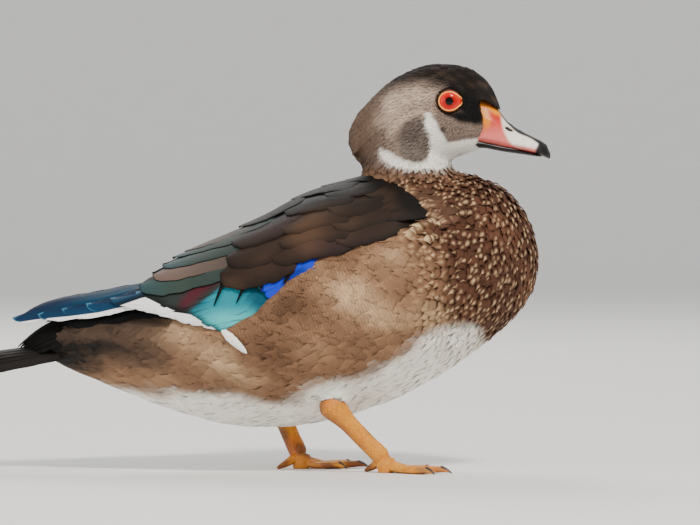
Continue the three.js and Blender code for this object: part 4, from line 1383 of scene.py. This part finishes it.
def legFinish():
    finish = Finish("leg_skin", 0.42, Subsurface_Weight=0.08)
    shade = finish.attribute("plume")
    sockets = {"Vector": finish.place(), "Scale": 640}
    scales = finish.node("ShaderNodeTexVoronoi", {"feature": "DISTANCE_TO_EDGE"}, sockets).out(0)
    grain, blotch = finish.noise(900, 4.0, 0.6), finish.noise(150, 4.0, 0.6)
    edge = (scales * 6.0).math("MINIMUM", 1.0)
    share = edge * 0.5 + grain * 0.3 + blotch * 1.2 - 0.55
    finish.feed("Base Color", finish.mix(share, finish.toned(shade, (0.62, 0.44, 0.3)), shade))
    finish.bump(edge * 0.6 + grain * 0.3, 0.00035, 0.6)
    finish.feed("Roughness", grain * 0.3 + 0.28)
    return finish.material


def hornFinish():
    finish = Finish("claw", 0.35, Coat_Weight=0.2)
    grain = finish.noise(1200, 4.0, 0.6)
    finish.feed("Base Color", finish.mix(grain, (0.012, 0.008, 0.006, 1), (0.05, 0.033, 0.025, 1)))
    finish.bump(grain, 0.0001, 0.4)
    return finish.material


def makeLeg(word, foot, finish):
    nodes = ["shank_" + word, "foot_" + word]
    leg = blended("leg_" + word, nodes, legSizes["voxel"], legSizes["smooth"], finish)
    inner, facing = pointsOf(leg), normalsOf(leg)
    x, _, z = inner.T
    swell = mixed(legSizes["footSwell"], legSizes["swell"], ramp(z, 4, 14)) * ramp(z, 0.3, 2.5)
    knob = 1 + legSizes["knob"] * ramp(np.linalg.norm(inner - np.array(foot["ankle"]), axis=1), 12, 4)
    points = inner + facing * (swell * knob)[:, None]
    setPoints(leg, points)
    hind = (x - foot["base"][0]) * math.cos(math.radians(foot["heading"]))
    shaded = np.maximum(ramp(-facing[:, 0], 0.3, 0.9) * ramp(z, 5, 12), 0.8 * ramp(-facing[:, 2], 0.2, 0.8))
    setColours(leg, painted(
        legShades, "yellow",
        ("orange", ramp(wobble(points, 5, 51), 0.0, 0.9) * 0.6 + 0.5 * ramp(z, 30, 38)),
        ("dark", 0.7 * ramp(wobble(points, 3.5, 52), 0.25, 0.8) * ramp(z, 36, 16)),
        ("pink", 0.5 * ramp(z, 9, 4) * ramp(wobble(points, 4, 53), -0.2, 0.8)),
        ("dark", 0.75 * ramp(hind, -3.5, -7) * ramp(z, 7, 3)),
        ("dark", 0.6 * shaded)))


def makeClaws(word, foot, horn):
    parts, start = [], 0
    turns = np.linspace(0, 2 * np.pi, clawSizes["around"], endpoint=False)
    for toe in toes:
        turn = math.radians(foot["heading"]) + foot["mirror"] * math.radians(toe["turn"])
        way = np.array([math.cos(turn), math.sin(turn)])
        cross = np.array([-way[1], way[0]])
        rings = []
        for step in np.linspace(0, 1, clawSizes["steps"]):
            middle = np.array(foot["base"]) + way * (mixed(clawSizes["from"], 1.01, step) * toe["length"] - 2)
            radius = clawSizes["thick"] * (1 - step) ** 0.6 + 0.12
            height = clawSizes["rise"] * (1 - step**2) + radius * 0.55 + 0.1
            rings.append([[*(middle + cross * radius * 0.8 * math.cos(a)),
                           max(height + radius * math.sin(a), 0.05)] for a in turns])
        points, faces = ringGrid(np.array(rings))
        parts.append((points, faces[:, ::-1] + start))
        start += len(points)
    points, faces = (np.concatenate([part[k] for part in parts]) for k in (0, 1))
    claws = meshFrom("claws_" + word, points, faces, horn)


# One white flank feather that lies loose below each wing

looseFeather = {"root": (-8.5, 73.0), "tip": (5.1, 60.5), "length": 18}
looseShape = {"width": 4.4, "lift": 3.4, "rootLift": 2.2, "tilt": 0.1, "point": 1.5, "tipStart": 0.4}


def paintLoose(u, v, points):
    return np.broadcast_to(shades["white"], points.shape)


def makeLooseFeather(side, word, surface, finish):
    def settle(x, z, lift):
        # straight in from the side until the skin is met
        spots = np.stack([x, np.full(x.shape, side * 60.0), z], -1).reshape(-1, 3)
        hits = [surface.tree.ray_cast(Vector(spot), Vector((0, -side, 0)))[0] for spot in spots.tolist()]
        found = np.array([hit if hit else spot for hit, spot in zip(hits, spots)])
        found[:, 1] += side * lift.ravel()
        return found.reshape(x.shape + (3,))

    place, _ = trackOn(np.array(looseFeather["root"]), np.array(looseFeather["tip"]), settle)
    vanes = Vanes()
    vanes.add(vane(place, looseShape, 77 + side), paintLoose, looseFeather["length"], looseShape["width"])
    vanes.piece("loose_feather_" + word, finish, "body_feathers")


# The whole bird

makeCamera()
makeLights()
makeFloor()
print("camera, lights and floor done")
bodyFinish = plumageFinish("body_plumage", 0.75, 0.2, 0.0004, 420)
headFinish = plumageFinish("head_plumage", 0.7, 0.2, 0.0002, 900)
wingFinish = vaneFinish("wing_plumage", 0.6, 0.14, 0.0003)
tailFinish = vaneFinish("tail_plumage", 0.65, 0.12, 0.0002)
eyeMaterial, lidMaterial = eyeFinish(), lidFinish()
legMaterial, hornMaterial = legFinish(), hornFinish()

skin = makeSkin(bodyFinish)
surface = Surface(skin)
makeCoat(surface, {"body": bodyFinish, "head": headFinish})
makeWingSkin(wingFinish)
for side in sideWords:
    makeWing(side, wingFinish)
    makeCape(side, bodyFinish)
makeTail(tailFinish)
for side, word in sideWords.items():
    makeEyeball(side, word, eyeMaterial)
    makeEyelid(side, word, lidMaterial)
makeBill({"bill_top": billFinish("bill", 0.36, 0.08), "bill_low": billFinish("bill_low", 0.6, 0.0)})
print("eyes and bill done")
for word, foot in feet.items():
    makeLeg(word, foot, legMaterial)
    makeClaws(word, foot, hornMaterial)
print("legs done")
for side, word in sideWords.items():
    makeLooseFeather(side, word, surface, wingFinish)
